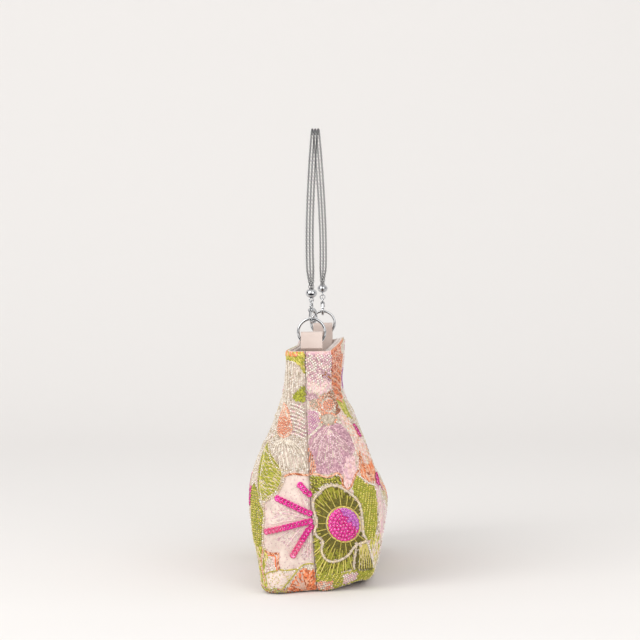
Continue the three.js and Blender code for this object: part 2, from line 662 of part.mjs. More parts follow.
// A strand as a string of square links, each turned an eighth from the last
function strand(line, number) {
  const length = line.getLength();
  const steps = Math.round(length / STRAND_PITCH) * 2;
  const gathered = (GATHER_START - (360 / STRAND_NAMES.length) * number) * RAD;
  const position = [];
  const index = [];
  const side = new THREE.Vector3(0, 1, 0);
  for (let i = 0; i <= steps; i++) {
    const t = i / steps;
    const centre = line.getPointAt(t);
    const along = line.getTangentAt(t);
    const out = side.clone().cross(along).normalize();
    const flat = along.clone().cross(out).normalize();
    const spread = smooth((Math.min(t, 1 - t) * length) / GATHER_LENGTH);
    const u = STRAND_SPACING * (number - 1) * spread + STRAND_GATHER * Math.cos(gathered) * (1 - spread);
    const v = STRAND_GATHER * Math.sin(gathered) * (1 - spread);
    centre.addScaledVector(flat, u).addScaledVector(out, v);
    const width = (STRAND / 2) * (i % 2 ? STRAND_WAIST : 1);
    for (let corner = 0; corner < 4; corner++) {
      const angle = (corner * Math.PI) / 2 + (i * Math.PI) / 8;
      const point = centre.clone();
      point.addScaledVector(flat, width * Math.cos(angle)).addScaledVector(out, width * Math.sin(angle));
      position.push(point.x, point.y, point.z);
    }
    for (let corner = 0; corner < 4 && i < steps; corner++) {
      const a = i * 4 + corner;
      const b = i * 4 + ((corner + 1) % 4);
      index.push(a, b, b + 4, a, b + 4, a + 4);
    }
  }
  const end = steps * 4;
  index.push(0, 2, 1, 0, 3, 2, end, end + 1, end + 2, end, end + 2, end + 3);
  return closedMesh(position, index);
}

const line = chainLine();
STRAND_NAMES.forEach((name, number) => add(bag, name, strand(line, number), steel));

export default bag;
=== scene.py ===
"""A soft satin evening bag covered in floral embroidery, beads and cup sequins, with a chain handle.

Lengths are in millimetres while a piece is shaped, and a finished piece is brought to metres.
"""
import math
import random

import bmesh
import bpy
from mathutils import Matrix, Vector


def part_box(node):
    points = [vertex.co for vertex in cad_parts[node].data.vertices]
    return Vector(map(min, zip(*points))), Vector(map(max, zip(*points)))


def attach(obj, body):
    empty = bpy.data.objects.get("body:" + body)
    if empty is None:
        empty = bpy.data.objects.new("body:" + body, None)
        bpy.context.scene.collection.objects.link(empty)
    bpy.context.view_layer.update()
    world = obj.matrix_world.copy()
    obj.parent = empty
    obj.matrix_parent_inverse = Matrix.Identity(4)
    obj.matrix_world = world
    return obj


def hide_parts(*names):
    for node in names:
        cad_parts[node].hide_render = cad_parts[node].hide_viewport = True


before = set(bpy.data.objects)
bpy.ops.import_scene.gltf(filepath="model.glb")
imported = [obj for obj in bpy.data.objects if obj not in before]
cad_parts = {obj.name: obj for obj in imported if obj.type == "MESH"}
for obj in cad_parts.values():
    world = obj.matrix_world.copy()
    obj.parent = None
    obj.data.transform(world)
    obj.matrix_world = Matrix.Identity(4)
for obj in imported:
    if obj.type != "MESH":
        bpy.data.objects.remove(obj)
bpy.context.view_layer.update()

MM = 0.001
FRONT, BACK = -1, 1
WORD = {FRONT: "front", BACK: "back"}
UP = Vector((0, 0, 1))
dice = random.Random(7)

# Body: the values are those at the base, the belly and the neck
LENGTHS = (212, 224, 220)
DEPTHS = (71, 86, 28.6)
CORNERS = (16, 24, 5.5)
BOWS = (1, 3.2, 4.8)
BELLY_HEIGHT = 50
NECK_HEIGHT = 134
BODY_HEIGHT = 157
SHOULDER_FULLNESS = 1.35
LEAST_CORNER = 1.5
BASE_ROUND = 8
NECK_SHIFT = 3.3
NECK_SHIFT_START = 95
SEAM_SHIFT = 5.6
RIM_RISE_MIDDLE = 0.5
RIM_DIP_NEAR = 1.5
RIM_DIP_FAR = 6.5

# Layers of cloth
PANEL = 1.8
LINING = 0.8
BAND = 2.4
BAND_HEIGHT = 32
BAND_SETBACK = 1
BOARD = 2
BOARD_INSET = 1.5
SEAT = 0.3
SEAM_GAP = 0.5
SEAM_ROLL = 1.6
SEAM_DIP = 0.9

# Rings, tabs, caps and chain
RING_DIAMETER = 19
RING_WIRE = 1.9
RING_SLACK = 0.1
RING_OFFSET = 1.5
TAB_WIDTH = 13.8
TAB_LEAF = 0.7
TAB_TAIL = 24
JUMP_RADIUS = 1.75
JUMP_WIRE = 0.8
NEAR_JUMP_TURN = 25
CAP_DIAMETER = 7.4
CAP_HEIGHT = 6.2
CAP_RECESS = 2
CAP_MOUTH = 2.25
CAP_LIP = 0.35
LOOP_RADIUS = 1.3
LOOP_WIRE = 0.8
LOOP_SINK = 0.15
CHAIN_APEX = 300
APEX_RADIUS = 9
LEG_STEPS = 7
LEG_EASING = 1.25
CHAIN_SAG = 3.5
CHAIN_BOW = 2
CAP_LEAD = 5
STRAND_SPACING = 2.0
STRAND_GATHER = 1.1
GATHER_START = 210
GATHER_LENGTH = 22
LINK_WIRE = 0.4
LINK_LENGTH = 2.6
LINK_WIDTH = 1.65
LINK_TURNS = (-12, 78)

# Camera
CAMERA_PLACE = Vector((-1667.5, -59.6, 251.9))
CAMERA_YAW = math.radians(2.04)
CAMERA_PITCH = math.radians(2.81)
CAMERA_ROLL = math.radians(-0.65)
CAMERA_LENS = 137.6
SENSOR_WIDTH = 36
CLIP_NEAR = 0.05
CLIP_FAR = 20


def keep(o):
    bpy.context.scene.collection.objects.link(o)
    return o


# Camera, lights, floor and backdrop
def make_camera():
    data = bpy.data.cameras.new("camera")
    data.lens = CAMERA_LENS
    data.sensor_width = SENSOR_WIDTH
    data.clip_start = CLIP_NEAR
    data.clip_end = CLIP_FAR
    level = math.cos(CAMERA_PITCH)
    forward = Vector((math.cos(CAMERA_YAW) * level, math.sin(CAMERA_YAW) * level, -math.sin(CAMERA_PITCH)))
    across = forward.cross(UP).normalized()
    upward = across.cross(forward)
    right = across * math.cos(CAMERA_ROLL) + upward * math.sin(CAMERA_ROLL)
    turned = Matrix((right, right.cross(forward), -forward)).transposed().to_4x4()
    camera = keep(bpy.data.objects.new("camera", data))
    camera.matrix_world = Matrix.Translation(CAMERA_PLACE * MM) @ turned
    bpy.context.scene.camera = camera


def area_light(name, place, aim, size, watts, colour):
    data = bpy.data.lights.new(name, "AREA")
    data.shape = "DISK"
    data.size = size * MM
    data.energy = watts
    data.color = colour
    lamp = keep(bpy.data.objects.new(name, data))
    direction = Vector(aim) - Vector(place)
    turned = direction.to_track_quat("-Z", "Y").to_matrix().to_4x4()
    lamp.matrix_world = Matrix.Translation(Vector(place) * MM) @ turned


def linear(colour):
    """A written colour such as 'd8cdc4' as the linear values that a shader takes."""
    parts = [int(colour[i:i + 2], 16) / 255 for i in (0, 2, 4)]
    return tuple(p / 12.92 if p <= 0.04045 else ((p + 0.055) / 1.055) ** 2.4 for p in parts) + (1,)


WORLD_STRENGTH = 0.8


def light_world():
    """An even pale light, with the backdrop's own colour where it is seen or mirrored."""
    world = bpy.data.worlds.new("studio")
    bpy.context.scene.world = world
    world.use_nodes = True
    nodes, links = world.node_tree.nodes, world.node_tree.links
    nodes.clear()
    rays = nodes.new("ShaderNodeLightPath")
    seen = nodes.new("ShaderNodeBackground")
    seen.inputs["Color"].default_value = linear("ebe9e8")
    lit = nodes.new("ShaderNodeBackground")
    lit.inputs["Color"].default_value = linear("fbfaf8")
    lit.inputs["Strength"].default_value = WORLD_STRENGTH
    either = nodes.new("ShaderNodeMath")
    either.operation = "MAXIMUM"
    mirrored = nodes.new("ShaderNodeMath")
    mirrored.operation = "MAXIMUM"
    mix = nodes.new("ShaderNodeMixShader")
    out = nodes.new("ShaderNodeOutputWorld")
    links.new(rays.outputs["Is Camera Ray"], either.inputs[0])
    links.new(rays.outputs["Is Glossy Ray"], mirrored.inputs[0])
    links.new(rays.outputs["Is Transmission Ray"], mirrored.inputs[1])
    links.new(mirrored.outputs[0], either.inputs[1])
    links.new(either.outputs[0], mix.inputs[0])
    links.new(lit.outputs[0], mix.inputs[1])
    links.new(seen.outputs[0], mix.inputs[2])
    links.new(mix.outputs[0], out.inputs[0])


def stage_material(name, colour):
    material = bpy.data.materials.new(name)
    material.use_nodes = True
    shader = material.node_tree.nodes["Principled BSDF"]
    shader.inputs["Base Color"].default_value = linear(colour)
    shader.inputs["Roughness"].default_value = 0.9
    shader.inputs["Specular IOR Level"].default_value = 0.1
    return material


FLOOR_WIDTH = 6000
FLOOR_START = -2600
FLOOR_LENGTH = 6200
FLOOR_DROP = 0.4
FLOOR_STEPS = 60
SWEEP_START = 900
SWEEP_RADIUS = 700


def make_stage():
    """A floor that sweeps up behind the bag into a wall."""
    bm = bmesh.new()
    bmesh.ops.create_grid(bm, x_segments=FLOOR_STEPS, y_segments=2, size=1)
    for v in bm.verts:
        run = FLOOR_START + (v.co.x + 1) / 2 * FLOOR_LENGTH
        beyond = max(run - SWEEP_START, 0)
        angle = min(beyond / SWEEP_RADIUS, math.pi / 2)
        rise = max(beyond - SWEEP_RADIUS * math.pi / 2, 0)
        x = min(run, SWEEP_START) + SWEEP_RADIUS * math.sin(angle)
        z = SWEEP_RADIUS * (1 - math.cos(angle)) + rise
        v.co = Vector((x, v.co.y * FLOOR_WIDTH / 2, z - FLOOR_DROP)) * MM
    data = bpy.data.meshes.new("floor")
    bm.to_mesh(data)
    bm.free()
    floor = keep(bpy.data.objects.new("floor", data))
    for polygon in data.polygons:
        polygon.use_smooth = True
    data.materials.append(stage_material("floor_paper", "efedec"))


def dark_flag(name, place, width, height, aim=(0, 0, 150)):
    """A dark card that only glossy surfaces see, so that polished metal shows contrast."""
    bm = bmesh.new()
    bmesh.ops.create_grid(bm, x_segments=1, y_segments=1, size=0.5)
    bmesh.ops.scale(bm, vec=(width * MM, height * MM, 1), verts=bm.verts)
    towards = (Vector(aim) - Vector(place)).to_track_quat("Z", "Y").to_matrix()
    bmesh.ops.rotate(bm, verts=bm.verts, matrix=towards, cent=(0, 0, 0))
    bmesh.ops.translate(bm, vec=Vector(place) * MM, verts=bm.verts)
    data = bpy.data.meshes.new(name)
    bm.to_mesh(data)
    bm.free()
    card = keep(bpy.data.objects.new(name, data))
    data.materials.append(stage_material(name, "202023"))
    card.visible_camera = False
    card.visible_diffuse = False
    card.visible_shadow = False
    card.visible_transmission = False


# Finishes
MOTTLE_SPREAD = (0.32, 0.68)
WARP_HEIGHT = 0.35
COAT_ROUGHNESS = 0.12
SHEEN_ROUGHNESS = 0.4
BUMP_HEIGHT = 0.1


def shared_group(name, inputs, outputs):
    group = bpy.data.node_groups.new(name, "ShaderNodeTree")
    for title, kind, value in inputs:
        socket = group.interface.new_socket(title, in_out="INPUT", socket_type=kind)
        socket.default_value = value
    for title, kind in outputs:
        group.interface.new_socket(title, in_out="OUTPUT", socket_type=kind)
    return group, group.nodes.new("NodeGroupInput"), group.nodes.new("NodeGroupOutput")


def mottle_group():
    """Varies a colour in soft patches between a darker and a lighter tone of itself."""
    group, given, result = shared_group(
        "mottle",
        [("Place", "NodeSocketVector", (0, 0, 0)), ("Dark", "NodeSocketColor", (0, 0, 0, 1)),
         ("Light", "NodeSocketColor", (1, 1, 1, 1)), ("Scale", "NodeSocketFloat", 400.0)],
        [("Colour", "NodeSocketColor"), ("Mask", "NodeSocketFloat")],
    )
    noise = group.nodes.new("ShaderNodeTexNoise")
    noise.inputs["Detail"].default_value = 2.0
    spread = group.nodes.new("ShaderNodeMapRange")
    spread.inputs["From Min"].default_value = MOTTLE_SPREAD[0]
    spread.inputs["From Max"].default_value = MOTTLE_SPREAD[1]
    mix = group.nodes.new("ShaderNodeMix")
    mix.data_type = "RGBA"
    link = group.links.new
    link(given.outputs["Place"], noise.inputs["Vector"])
    link(given.outputs["Scale"], noise.inputs["Scale"])
    link(noise.outputs["Fac"], spread.inputs["Value"])
    link(spread.outputs["Result"], mix.inputs["Factor"])
    link(given.outputs["Dark"], mix.inputs["A"])
    link(given.outputs["Light"], mix.inputs["B"])
    link(mix.outputs["Result"], result.inputs["Colour"])
    link(spread.outputs["Result"], result.inputs["Mask"])
    return group


def weave_group():
    """Warp over weft, as a height: two sets of fine ribs at right angles, broken by a little noise."""
    group, given, result = shared_group(
        "weave",
        [("Place", "NodeSocketVector", (0, 0, 0)), ("Ribs", "NodeSocketFloat", 300.0)],
        [("Height", "NodeSocketFloat")],
    )
    link = group.links.new
    heights = []
    for direction, share in (("X", WARP_HEIGHT), ("Y", 1.0)):
        wave = group.nodes.new("ShaderNodeTexWave")
        wave.bands_direction = direction
        wave.inputs["Distortion"].default_value = 1.2
        wave.inputs["Detail"].default_value = 1.0
        link(given.outputs["Place"], wave.inputs["Vector"])
        link(given.outputs["Ribs"], wave.inputs["Scale"])
        part = group.nodes.new("ShaderNodeMath")
        part.operation = "MULTIPLY"
        part.inputs[1].default_value = share
        link(wave.outputs["Fac"], part.inputs[0])
        heights.append(part)
    both = group.nodes.new("ShaderNodeMath")
    both.operation = "ADD"
    link(heights[0].outputs[0], both.inputs[0])
    link(heights[1].outputs[0], both.inputs[1])
    link(both.outputs[0], result.inputs["Height"])
    return group


MOTTLE = mottle_group()
WEAVE = weave_group()


def finish(name, dark, light, roughness, scale=300, metallic=0.0, coat=0.0, sheen=0.0, weave=0, bump=0.0):
    """A finish whose colour wanders between two tones. Weave is ribs per metre, on the piece's UV map."""
    material = bpy.data.materials.new(name)
    material.use_nodes = True
    tree = material.node_tree
    shader = tree.nodes["Principled BSDF"]
    place = tree.nodes.new("ShaderNodeTexCoord")
    tone = tree.nodes.new("ShaderNodeGroup")
    tone.node_tree = MOTTLE
    tone.inputs["Dark"].default_value = linear(dark)
    tone.inputs["Light"].default_value = linear(light)
    tone.inputs["Scale"].default_value = scale
    tree.links.new(place.outputs["Object"], tone.inputs["Place"])
    tree.links.new(tone.outputs["Colour"], shader.inputs["Base Color"])
    shader.inputs["Roughness"].default_value = roughness
    shader.inputs["Metallic"].default_value = metallic
    shader.inputs["Coat Weight"].default_value = coat
    shader.inputs["Coat Roughness"].default_value = COAT_ROUGHNESS
    shader.inputs["Sheen Weight"].default_value = sheen
    shader.inputs["Sheen Roughness"].default_value = SHEEN_ROUGHNESS
    if weave or bump:
        relief = tree.nodes.new("ShaderNodeBump")
        relief.inputs["Strength"].default_value = bump
        relief.inputs["Distance"].default_value = BUMP_HEIGHT * MM
        if weave:
            cloth = tree.nodes.new("ShaderNodeGroup")
            cloth.node_tree = WEAVE
            cloth.inputs["Ribs"].default_value = weave
            tree.links.new(place.outputs["UV"], cloth.inputs["Place"])
            tree.links.new(cloth.outputs["Height"], relief.inputs["Height"])
        else:
            tree.links.new(tone.outputs["Mask"], relief.inputs["Height"])
        tree.links.new(relief.outputs["Normal"], shader.inputs["Normal"])
    return material


FINISHES = {
    "ground_satin": finish("ground_satin", "cfbbb0", "e8d6cb", 0.5, 130, sheen=0.3, weave=1600, bump=0.3),
    "ivory_satin": finish("ivory_satin", "c0aea6", "d0c0b8", 0.4, 60, sheen=0.3, weave=1900, bump=0.2),
    "lining_satin": finish("lining_satin", "d9cfc6", "ebe2da", 0.45, 40, sheen=0.2, weave=1600, bump=0.2),
    "board": finish("board", "7d766a", "958d80", 0.9, 200, bump=0.4),
    "chrome": finish("chrome", "b4b6b9", "d8dadc", 0.07, 120, metallic=1.0),
    # The chain steel's very dark tone and its fine dark-and-light speckle are partly painted: they paint
    # the dark reflections and the glints of the small links
    "chain_steel": finish("chain_steel", "202123", "6c6e72", 0.28, 900, metallic=1.0),
    "snap_steel": finish("snap_steel", "a5a6a8", "c6c7c9", 0.28, 200, metallic=1.0, bump=0.1),
}
# Each tone of thread, bead and sequin wanders between a darker and a lighter colour
THREADS = {
    "ivory": ("dccfbc", "f6eee2"), "greige": ("b8a896", "ddd0c0"), "lime": ("9c9e1e", "c0c048"),
    "lime_dark": ("868610", "aaa82c"), "olive": ("585002", "7a6e0c"), "olive_dark": ("55520a", "7c7812"),
    "gold": ("b2a034", "d6c868"), "yellow": ("d8ca50", "f0e286"), "lilac": ("d8aab6", "f0d2d8"),
    "mauve": ("b68a98", "d4aab4"), "pink": ("e4bab8", "f8dcd8"), "coral": ("e0682e", "f8a06a"),
    "peach": ("e3a07c", "f8ceb0"), "copper": ("9c4420", "cc7a48"),
}
BEADS = {
    "ivory": ("c9bca9", "f2e9dc"), "pearl": ("ddd2c6", "faf4ec"), "cream": ("bfa67e", "eadbbb"),
    "sand": ("a8967e", "d6c6b0"), "lilac": ("d4a2b2", "f6d8e0"), "mauve": ("a87a8c", "d0a2b0"),
    "violet": ("c480aa", "e8b0d0"), "coral": ("d87048", "f8b694"), "peach": ("e0a080", "fad4bc"),
    "copper": ("84381c", "cc8252"), "rust": ("8a2a10", "d05c2c"), "lime": ("949220", "c2c250"),
    # The pink beads are the pale ones at the sequins' middles, near white as a painted highlight for the
    # glint in each cup
    "yellow": ("c4b440", "e6d880"), "gold": ("b08a2a", "e8cc70"), "pink": ("f6a8d2", "fdeaf4"),
}
SEQUINS = {
    "magenta": ("d81080", "fa4cb6"), "pink": ("ec4c8a", "fc84b0"), "violet": ("bc4cb4", "e080da"),
}
for kind, tones, values in (
    ("thread", THREADS, {"roughness": 0.5, "scale": 650, "sheen": 0.25}),
    ("bead", BEADS, {"roughness": 0.16, "scale": 900, "coat": 0.6}),
    ("sequin", SEQUINS, {"roughness": 0.2, "scale": 500, "metallic": 0.35, "coat": 0.7}),
):
    for tone, (dark, light) in tones.items():
        FINISHES[f"{kind}_{tone}"] = finish(f"{kind}_{tone}", dark, light, **values)


# Shape of the soft body
def ease(t):
    t = min(max(t, 0), 1)
    return t * t * (3 - 2 * t)


def at_height(z, values):
    base, belly, neck = values
    if z < BELLY_HEIGHT:
        return base + (belly - base) * math.sin(math.pi / 2 * max(z, 0) / BELLY_HEIGHT) ** 2
    t = min((z - BELLY_HEIGHT) / (NECK_HEIGHT - BELLY_HEIGHT), 1)
    return neck + (belly - neck) * math.cos(math.pi / 2 * t ** SHOULDER_FULLNESS) ** 2


def rim_lift(x, z):
    t = x / (LENGTHS[2] / 2)
    slope = (RIM_DIP_NEAR - RIM_DIP_FAR) / 2
    curve = -(RIM_DIP_NEAR + RIM_DIP_FAR) / 2 - RIM_RISE_MIDDLE
    return (RIM_RISE_MIDDLE + slope * t + curve * t * t) * (max(z, 0) / BODY_HEIGHT) ** 2


def drawn_in(z, depth):
    if z >= BASE_ROUND:
        return depth
    return BASE_ROUND - math.sqrt(max((BASE_ROUND - depth) ** 2 - (BASE_ROUND - z) ** 2, 0))


def seam_at(z):
    return SEAM_SHIFT * math.sin(math.pi / 2 * min(max(z, 0) / BODY_HEIGHT, 1))


def middle_at(z):
    return NECK_SHIFT * ease((z - NECK_SHIFT_START) / (NECK_HEIGHT - NECK_SHIFT_START))


def around(side, z, inset):
    """One side of the plan at z: half length, half depth, corner, its centre, end run and whole run."""
    a = at_height(z, LENGTHS) / 2 - inset
    b = at_height(z, DEPTHS) / 2 - inset
    r = max(at_height(z, CORNERS) - inset, LEAST_CORNER)
    turn = middle_at(z) + side * (b - r)
    end = abs(turn - seam_at(z))
    return a, b, r, turn, end, 2 * (end + r * math.pi / 2 + a - r)


def whole_run(side, z, inset=0):
    """How long one side's plan outline is at z, from the near seam to the far one."""
    return around(side, z, inset)[5]


def on_plan(side, s, z, inset):
    """The point of the plan outline that lies s along it from the near side seam."""
    a, b, r, turn, end, whole = around(side, z, inset)
    straight = a - r
    flip = -1
    if s > whole / 2:
        s, flip = whole - s, 1
    if s < end:
        return flip * a, seam_at(z) + side * s
    if s < end + r * math.pi / 2:
        angle = (s - end) / r
        return flip * (straight + r * math.cos(angle)), turn + side * r * math.sin(angle)
    x = straight - (s - end - r * math.pi / 2)
    return flip * x, middle_at(z) + side * (b + at_height(z, BOWS) * (1 - (x / straight) ** 2))


# The near end's base is pulled about: its back corner spreads, its front corner is drawn in and lifted
PULL_LENGTH = 55
PULL_HEIGHT = 30
PULL_BACK = 11
PULL_SIDE = 0.5
CORNER_SQUARING = 1.5
PULL_FRONT = 8
PULL_LIFT = 5
HALF_BASE = 30
LIFT_START = 0.2


def pulled(x, y, z):
    share = ease((-x - LENGTHS[0] / 2 + PULL_LENGTH) / PULL_LENGTH) * ease(1 - z / PULL_HEIGHT)
    back = ease(y / HALF_BASE)
    front = ease(-y / HALF_BASE)
    lift = PULL_LIFT * share * ease((-y / HALF_BASE - LIFT_START) / (1 - LIFT_START))
    squared = CORNER_SQUARING * share * back * back * max(1 - z / BASE_ROUND, 0)
    x += share * (PULL_FRONT * front - PULL_BACK * back) - squared
    y += share * PULL_SIDE * back * back + squared
    return Vector((x, fallen_in(x, y, z), z + lift))


# The long sides fall in under the neck, more towards the far end, and the back rim leans in at once:
# (height, spread, depth, the x where it starts, the length over which it deepens, the x where it ends)
HOLLOWS = {
    FRONT: (
        (80, 24, 11, -95, 120, 150), (66, 12, 4.5, -95, 120, 150), (112, 20, 5, -95, 120, 150),
        (31, 10, 3.5, -95, 120, 150),
    ),
    BACK: ((84, 26, 4.5, -95, 120, 150), (157, 13, 7, -104, 40, 106)),
}
HOLLOW_END = 36


def fallen_in(x, y, z):
    """The y of a point once its side has fallen in. Each layer keeps its place among the others."""
    middle = middle_at(z)
    side = FRONT if y < middle else BACK
    depth = 0.0
    for height, spread, deep, start, length, end in HOLLOWS[side]:
        share = math.sin(math.pi / 2 * min(max((x - start) / length, 0), 1)) * ease((end - x) / HOLLOW_END)
        depth += share * deep * math.exp(-((z - height) / spread) ** 2)
    return middle + (y - middle) * (1 - depth / (at_height(z, DEPTHS) / 2))


FOLD_DEPTH = 0.8
FOLD_HEIGHT = 112
FOLD_REACH = 26
FOLDS_PER_MM = 0.23
FOLD_PHASE = 1.3
FOLD_WANDER = 0.8
WANDERS_PER_MM = 0.05
DENT_DEPTH = 1.4
DENTS_PER_MM = (0.043, 0.045)
DENT_PHASE = 1.1
SLACK_START = 8
SLACK_LENGTH = 30
SLACK_FOOT = 25
SLACK_RIM = 12
SLACK_NECK = 40


def slack(side, s, whole, z):
    """How far the skin stands out in shallow folds under the neck and broad dents in the long sides."""
    into_neck = math.exp(-((z - FOLD_HEIGHT) / FOLD_REACH) ** 2)
    wander = FOLD_WANDER * math.sin(WANDERS_PER_MM * z)
    folds = FOLD_DEPTH * into_neck * math.sin(FOLDS_PER_MM * s + FOLD_PHASE * side + wander)
    dents = DENT_DEPTH * math.sin(DENTS_PER_MM[0] * s + side) * math.sin(DENTS_PER_MM[1] * z + DENT_PHASE)
    from_seam = ease((min(s, whole - s) - SLACK_START) / SLACK_LENGTH)
    free = from_seam * ease(z / SLACK_FOOT) * ease((BODY_HEIGHT + SLACK_RIM - z) / SLACK_NECK)
    return (folds + dents) * free


def skin(side, s, z, depth=0.0):
    """A point of the soft body, depth inside its outer skin."""
    whole = whole_run(side, z)
    edge = min(s, whole - s)
    roll = SEAM_DIP * (1 - ease(edge / SEAM_ROLL))
    inset = drawn_in(z, 0) + depth + roll - slack(side, s, whole, z)
    whole_here = whole_run(side, z, inset)
    x, y = on_plan(side, s * whole_here / whole, z, inset)
    return pulled(x, y, z + rim_lift(x, z))


# Making pieces
def piece(name, bm, material, body, replaces=(), smooth=True):
    """Turns a mesh drawn in millimetres into a finished piece that rides on a body."""
    bmesh.ops.scale(bm, vec=(MM, MM, MM), verts=bm.verts)
    data = bpy.data.meshes.new(name)
    bm.to_mesh(data)
    bm.free()
    made = keep(bpy.data.objects.new(name, data))
    data.materials.append(FINISHES[material])
    data.polygons.foreach_set("use_smooth", [smooth] * len(data.polygons))
    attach(made, body)
    if replaces:
        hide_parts(*replaces)
    return made


WELD = 1e-4


def cloth_wall(side, profile, columns, place):
    """A wall of cloth round one side: a closed loop of (height, depth) rows, drawn along the plan."""
    bm = bmesh.new()
    bmesh.ops.create_grid(bm, x_segments=columns, y_segments=len(profile), size=1, calc_uvs=False)
    bm.verts.ensure_lookup_table()
    uv = bm.loops.layers.uv.new("cloth")
    spots = {}
    for v in bm.verts:
        across = (v.co.x + 1) / 2
        row = round((v.co.y + 1) / 2 * len(profile))
        z, depth = profile[row % len(profile)]
        spots[v] = (across, row)
        v.co = place(side, across, z, depth)
    heights = [0.0]
    for (z0, d0), (z1, d1) in zip(profile, profile[1:] + profile[:1]):
        heights.append(heights[-1] + math.hypot(z1 - z0, d1 - d0))
    length = whole_run(side, BELLY_HEIGHT)
    for face in bm.faces:
        for loop in face.loops:
            across, row = spots[loop.vert]
            loop[uv].uv = (across * length * MM, heights[row] * MM)
    bmesh.ops.remove_doubles(bm, verts=bm.verts, dist=WELD)
    bmesh.ops.holes_fill(bm, edges=bm.edges, sides=0)
    bmesh.ops.recalc_face_normals(bm, faces=bm.faces)
    return bm


def inner_place(side, across, z, depth):
    """Inside the skin the cloth is plainer: no rolled seam and no folds."""
    inset = drawn_in(z, depth)
    whole = whole_run(side, z, inset)
    x, y = on_plan(side, SEAT / 2 + across * (whole - SEAT), z, inset)
    return pulled(x, y, z + rim_lift(x, z))


def steps(low, high, count):
    return [low + (high - low) * i / count for i in range(count + 1)]


EDGE_STEPS = 6
WALL_STEPS = 66
INSIDE_STEPS = 14


def panel_profile():
    """Out under the base, up the wall, over the rolled rim and down inside."""
    turn = [math.pi / 2 * i / EDGE_STEPS for i in range(EDGE_STEPS)]
    rows = [(BASE_ROUND * (1 - math.cos(t)), 0) for t in turn]
    rows += [(z, 0) for z in steps(BASE_ROUND, BODY_HEIGHT - PANEL / 2, WALL_STEPS)]
    over = [math.pi * i / EDGE_STEPS for i in range(1, EDGE_STEPS)]
    rim = BODY_HEIGHT - PANEL / 2
    rows += [(rim + PANEL / 2 * math.sin(t), PANEL / 2 * (1 - math.cos(t))) for t in over]
    rows += [(z, PANEL) for z in steps(rim, BASE_ROUND, INSIDE_STEPS)]
    rows += [(BASE_ROUND - (BASE_ROUND - PANEL) * math.cos(t), PANEL) for t in reversed(turn[:-1])]
    return rows


def panel_place(side, across, z, depth):
    whole = whole_run(side, z)
    s = SEAM_GAP / 2 + across * (whole - SEAM_GAP)
    if depth >= PANEL - 1e-6 and z < BASE_ROUND:
        # Inside the rounded base edge the wall is drawn in along the same arc
        inset = drawn_in(z, PANEL)
        x, y = on_plan(side, s * whole_run(side, z, inset) / whole, z, inset)
        return pulled(x, y, z + rim_lift(x, z))
    return skin(side, s, z, depth)


def wall_loop(levels, depth, thickness):
    outer = [(z, depth) for z in levels]
    inner = [(z, depth + thickness) for z in reversed(levels)]
    return outer + inner


OUTLINE_STEPS = 60


def base_layer(name, node, bottom, thickness, inset, material):
    """A flat layer across the base, filled inside the plan outline."""
    bm = bmesh.new()
    loops = []
    for side, order in ((FRONT, 1), (BACK, -1)):
        whole = whole_run(side, bottom, inset)
        run = [on_plan(side, s, bottom, inset) for s in steps(0, whole, OUTLINE_STEPS)]
        loops += run[::order][:-1]
    rim = [bm.verts.new(pulled(x, y, bottom)) for x, y in loops]
    bm.faces.new(rim)
    bmesh.ops.recalc_face_normals(bm, faces=bm.faces)
    made = bmesh.ops.extrude_face_region(bm, geom=bm.faces[:])
    raised = [g for g in made["geom"] if isinstance(g, bmesh.types.BMVert)]
    bmesh.ops.translate(bm, vec=(0, 0, thickness), verts=raised)
    bmesh.ops.recalc_face_normals(bm, faces=bm.faces)
    uv = bm.loops.layers.uv.new("cloth")
    for face in bm.faces:
        for loop in face.loops:
            loop[uv].uv = (loop.vert.co.x * MM, loop.vert.co.y * MM)
    return piece(name, bm, material, "bag", [node], smooth=False)


BAND_TOP = BODY_HEIGHT - BAND_SETBACK
BAND_BOTTOM = BAND_TOP - BAND_HEIGHT
PANEL_COLUMNS = 150
BAND_COLUMNS = 110
LINING_COLUMNS = 90
BAND_EDGE = 0.6
BAND_ROWS = 8
LINING_ROWS = 24


def make_body():
    for side, word in WORD.items():
        wall = cloth_wall(side, panel_profile(), PANEL_COLUMNS, panel_place)
        piece(f"{word}_panel_satin", wall, "ground_satin", "bag", [f"{word}_panel"])
        levels = steps(BAND_BOTTOM, BAND_TOP - BAND_EDGE, BAND_ROWS) + [BAND_TOP]
        band = cloth_wall(side, wall_loop(levels, PANEL + SEAT, BAND), BAND_COLUMNS, inner_place)
        piece(f"mouth_band_{word}", band, "ivory_satin", "bag", [f"band_{word}"])
        bottom = PANEL + BOARD + LINING + 3 * SEAT
        levels = steps(bottom, BAND_BOTTOM - SEAT, LINING_ROWS)
        lining = cloth_wall(side, wall_loop(levels, PANEL + SEAT, LINING), LINING_COLUMNS, inner_place)
        piece(f"lining_wall_{word}", lining, "lining_satin", "bag", [f"lining_{word}"])
    inset = BASE_ROUND + SEAT
    base_layer("base_underside", "base_panel", 0, PANEL, inset, "ground_satin")
    floor = PANEL + BOARD + 2 * SEAT
    base_layer("base_stiffener", "base_board", PANEL + SEAT, BOARD, inset + BOARD_INSET, "board")
    lining_inset = drawn_in(floor, PANEL + SEAT) + 2 * SEAT
    base_layer("lining_floor", "lining_base", floor, LINING, lining_inset, "lining_satin")


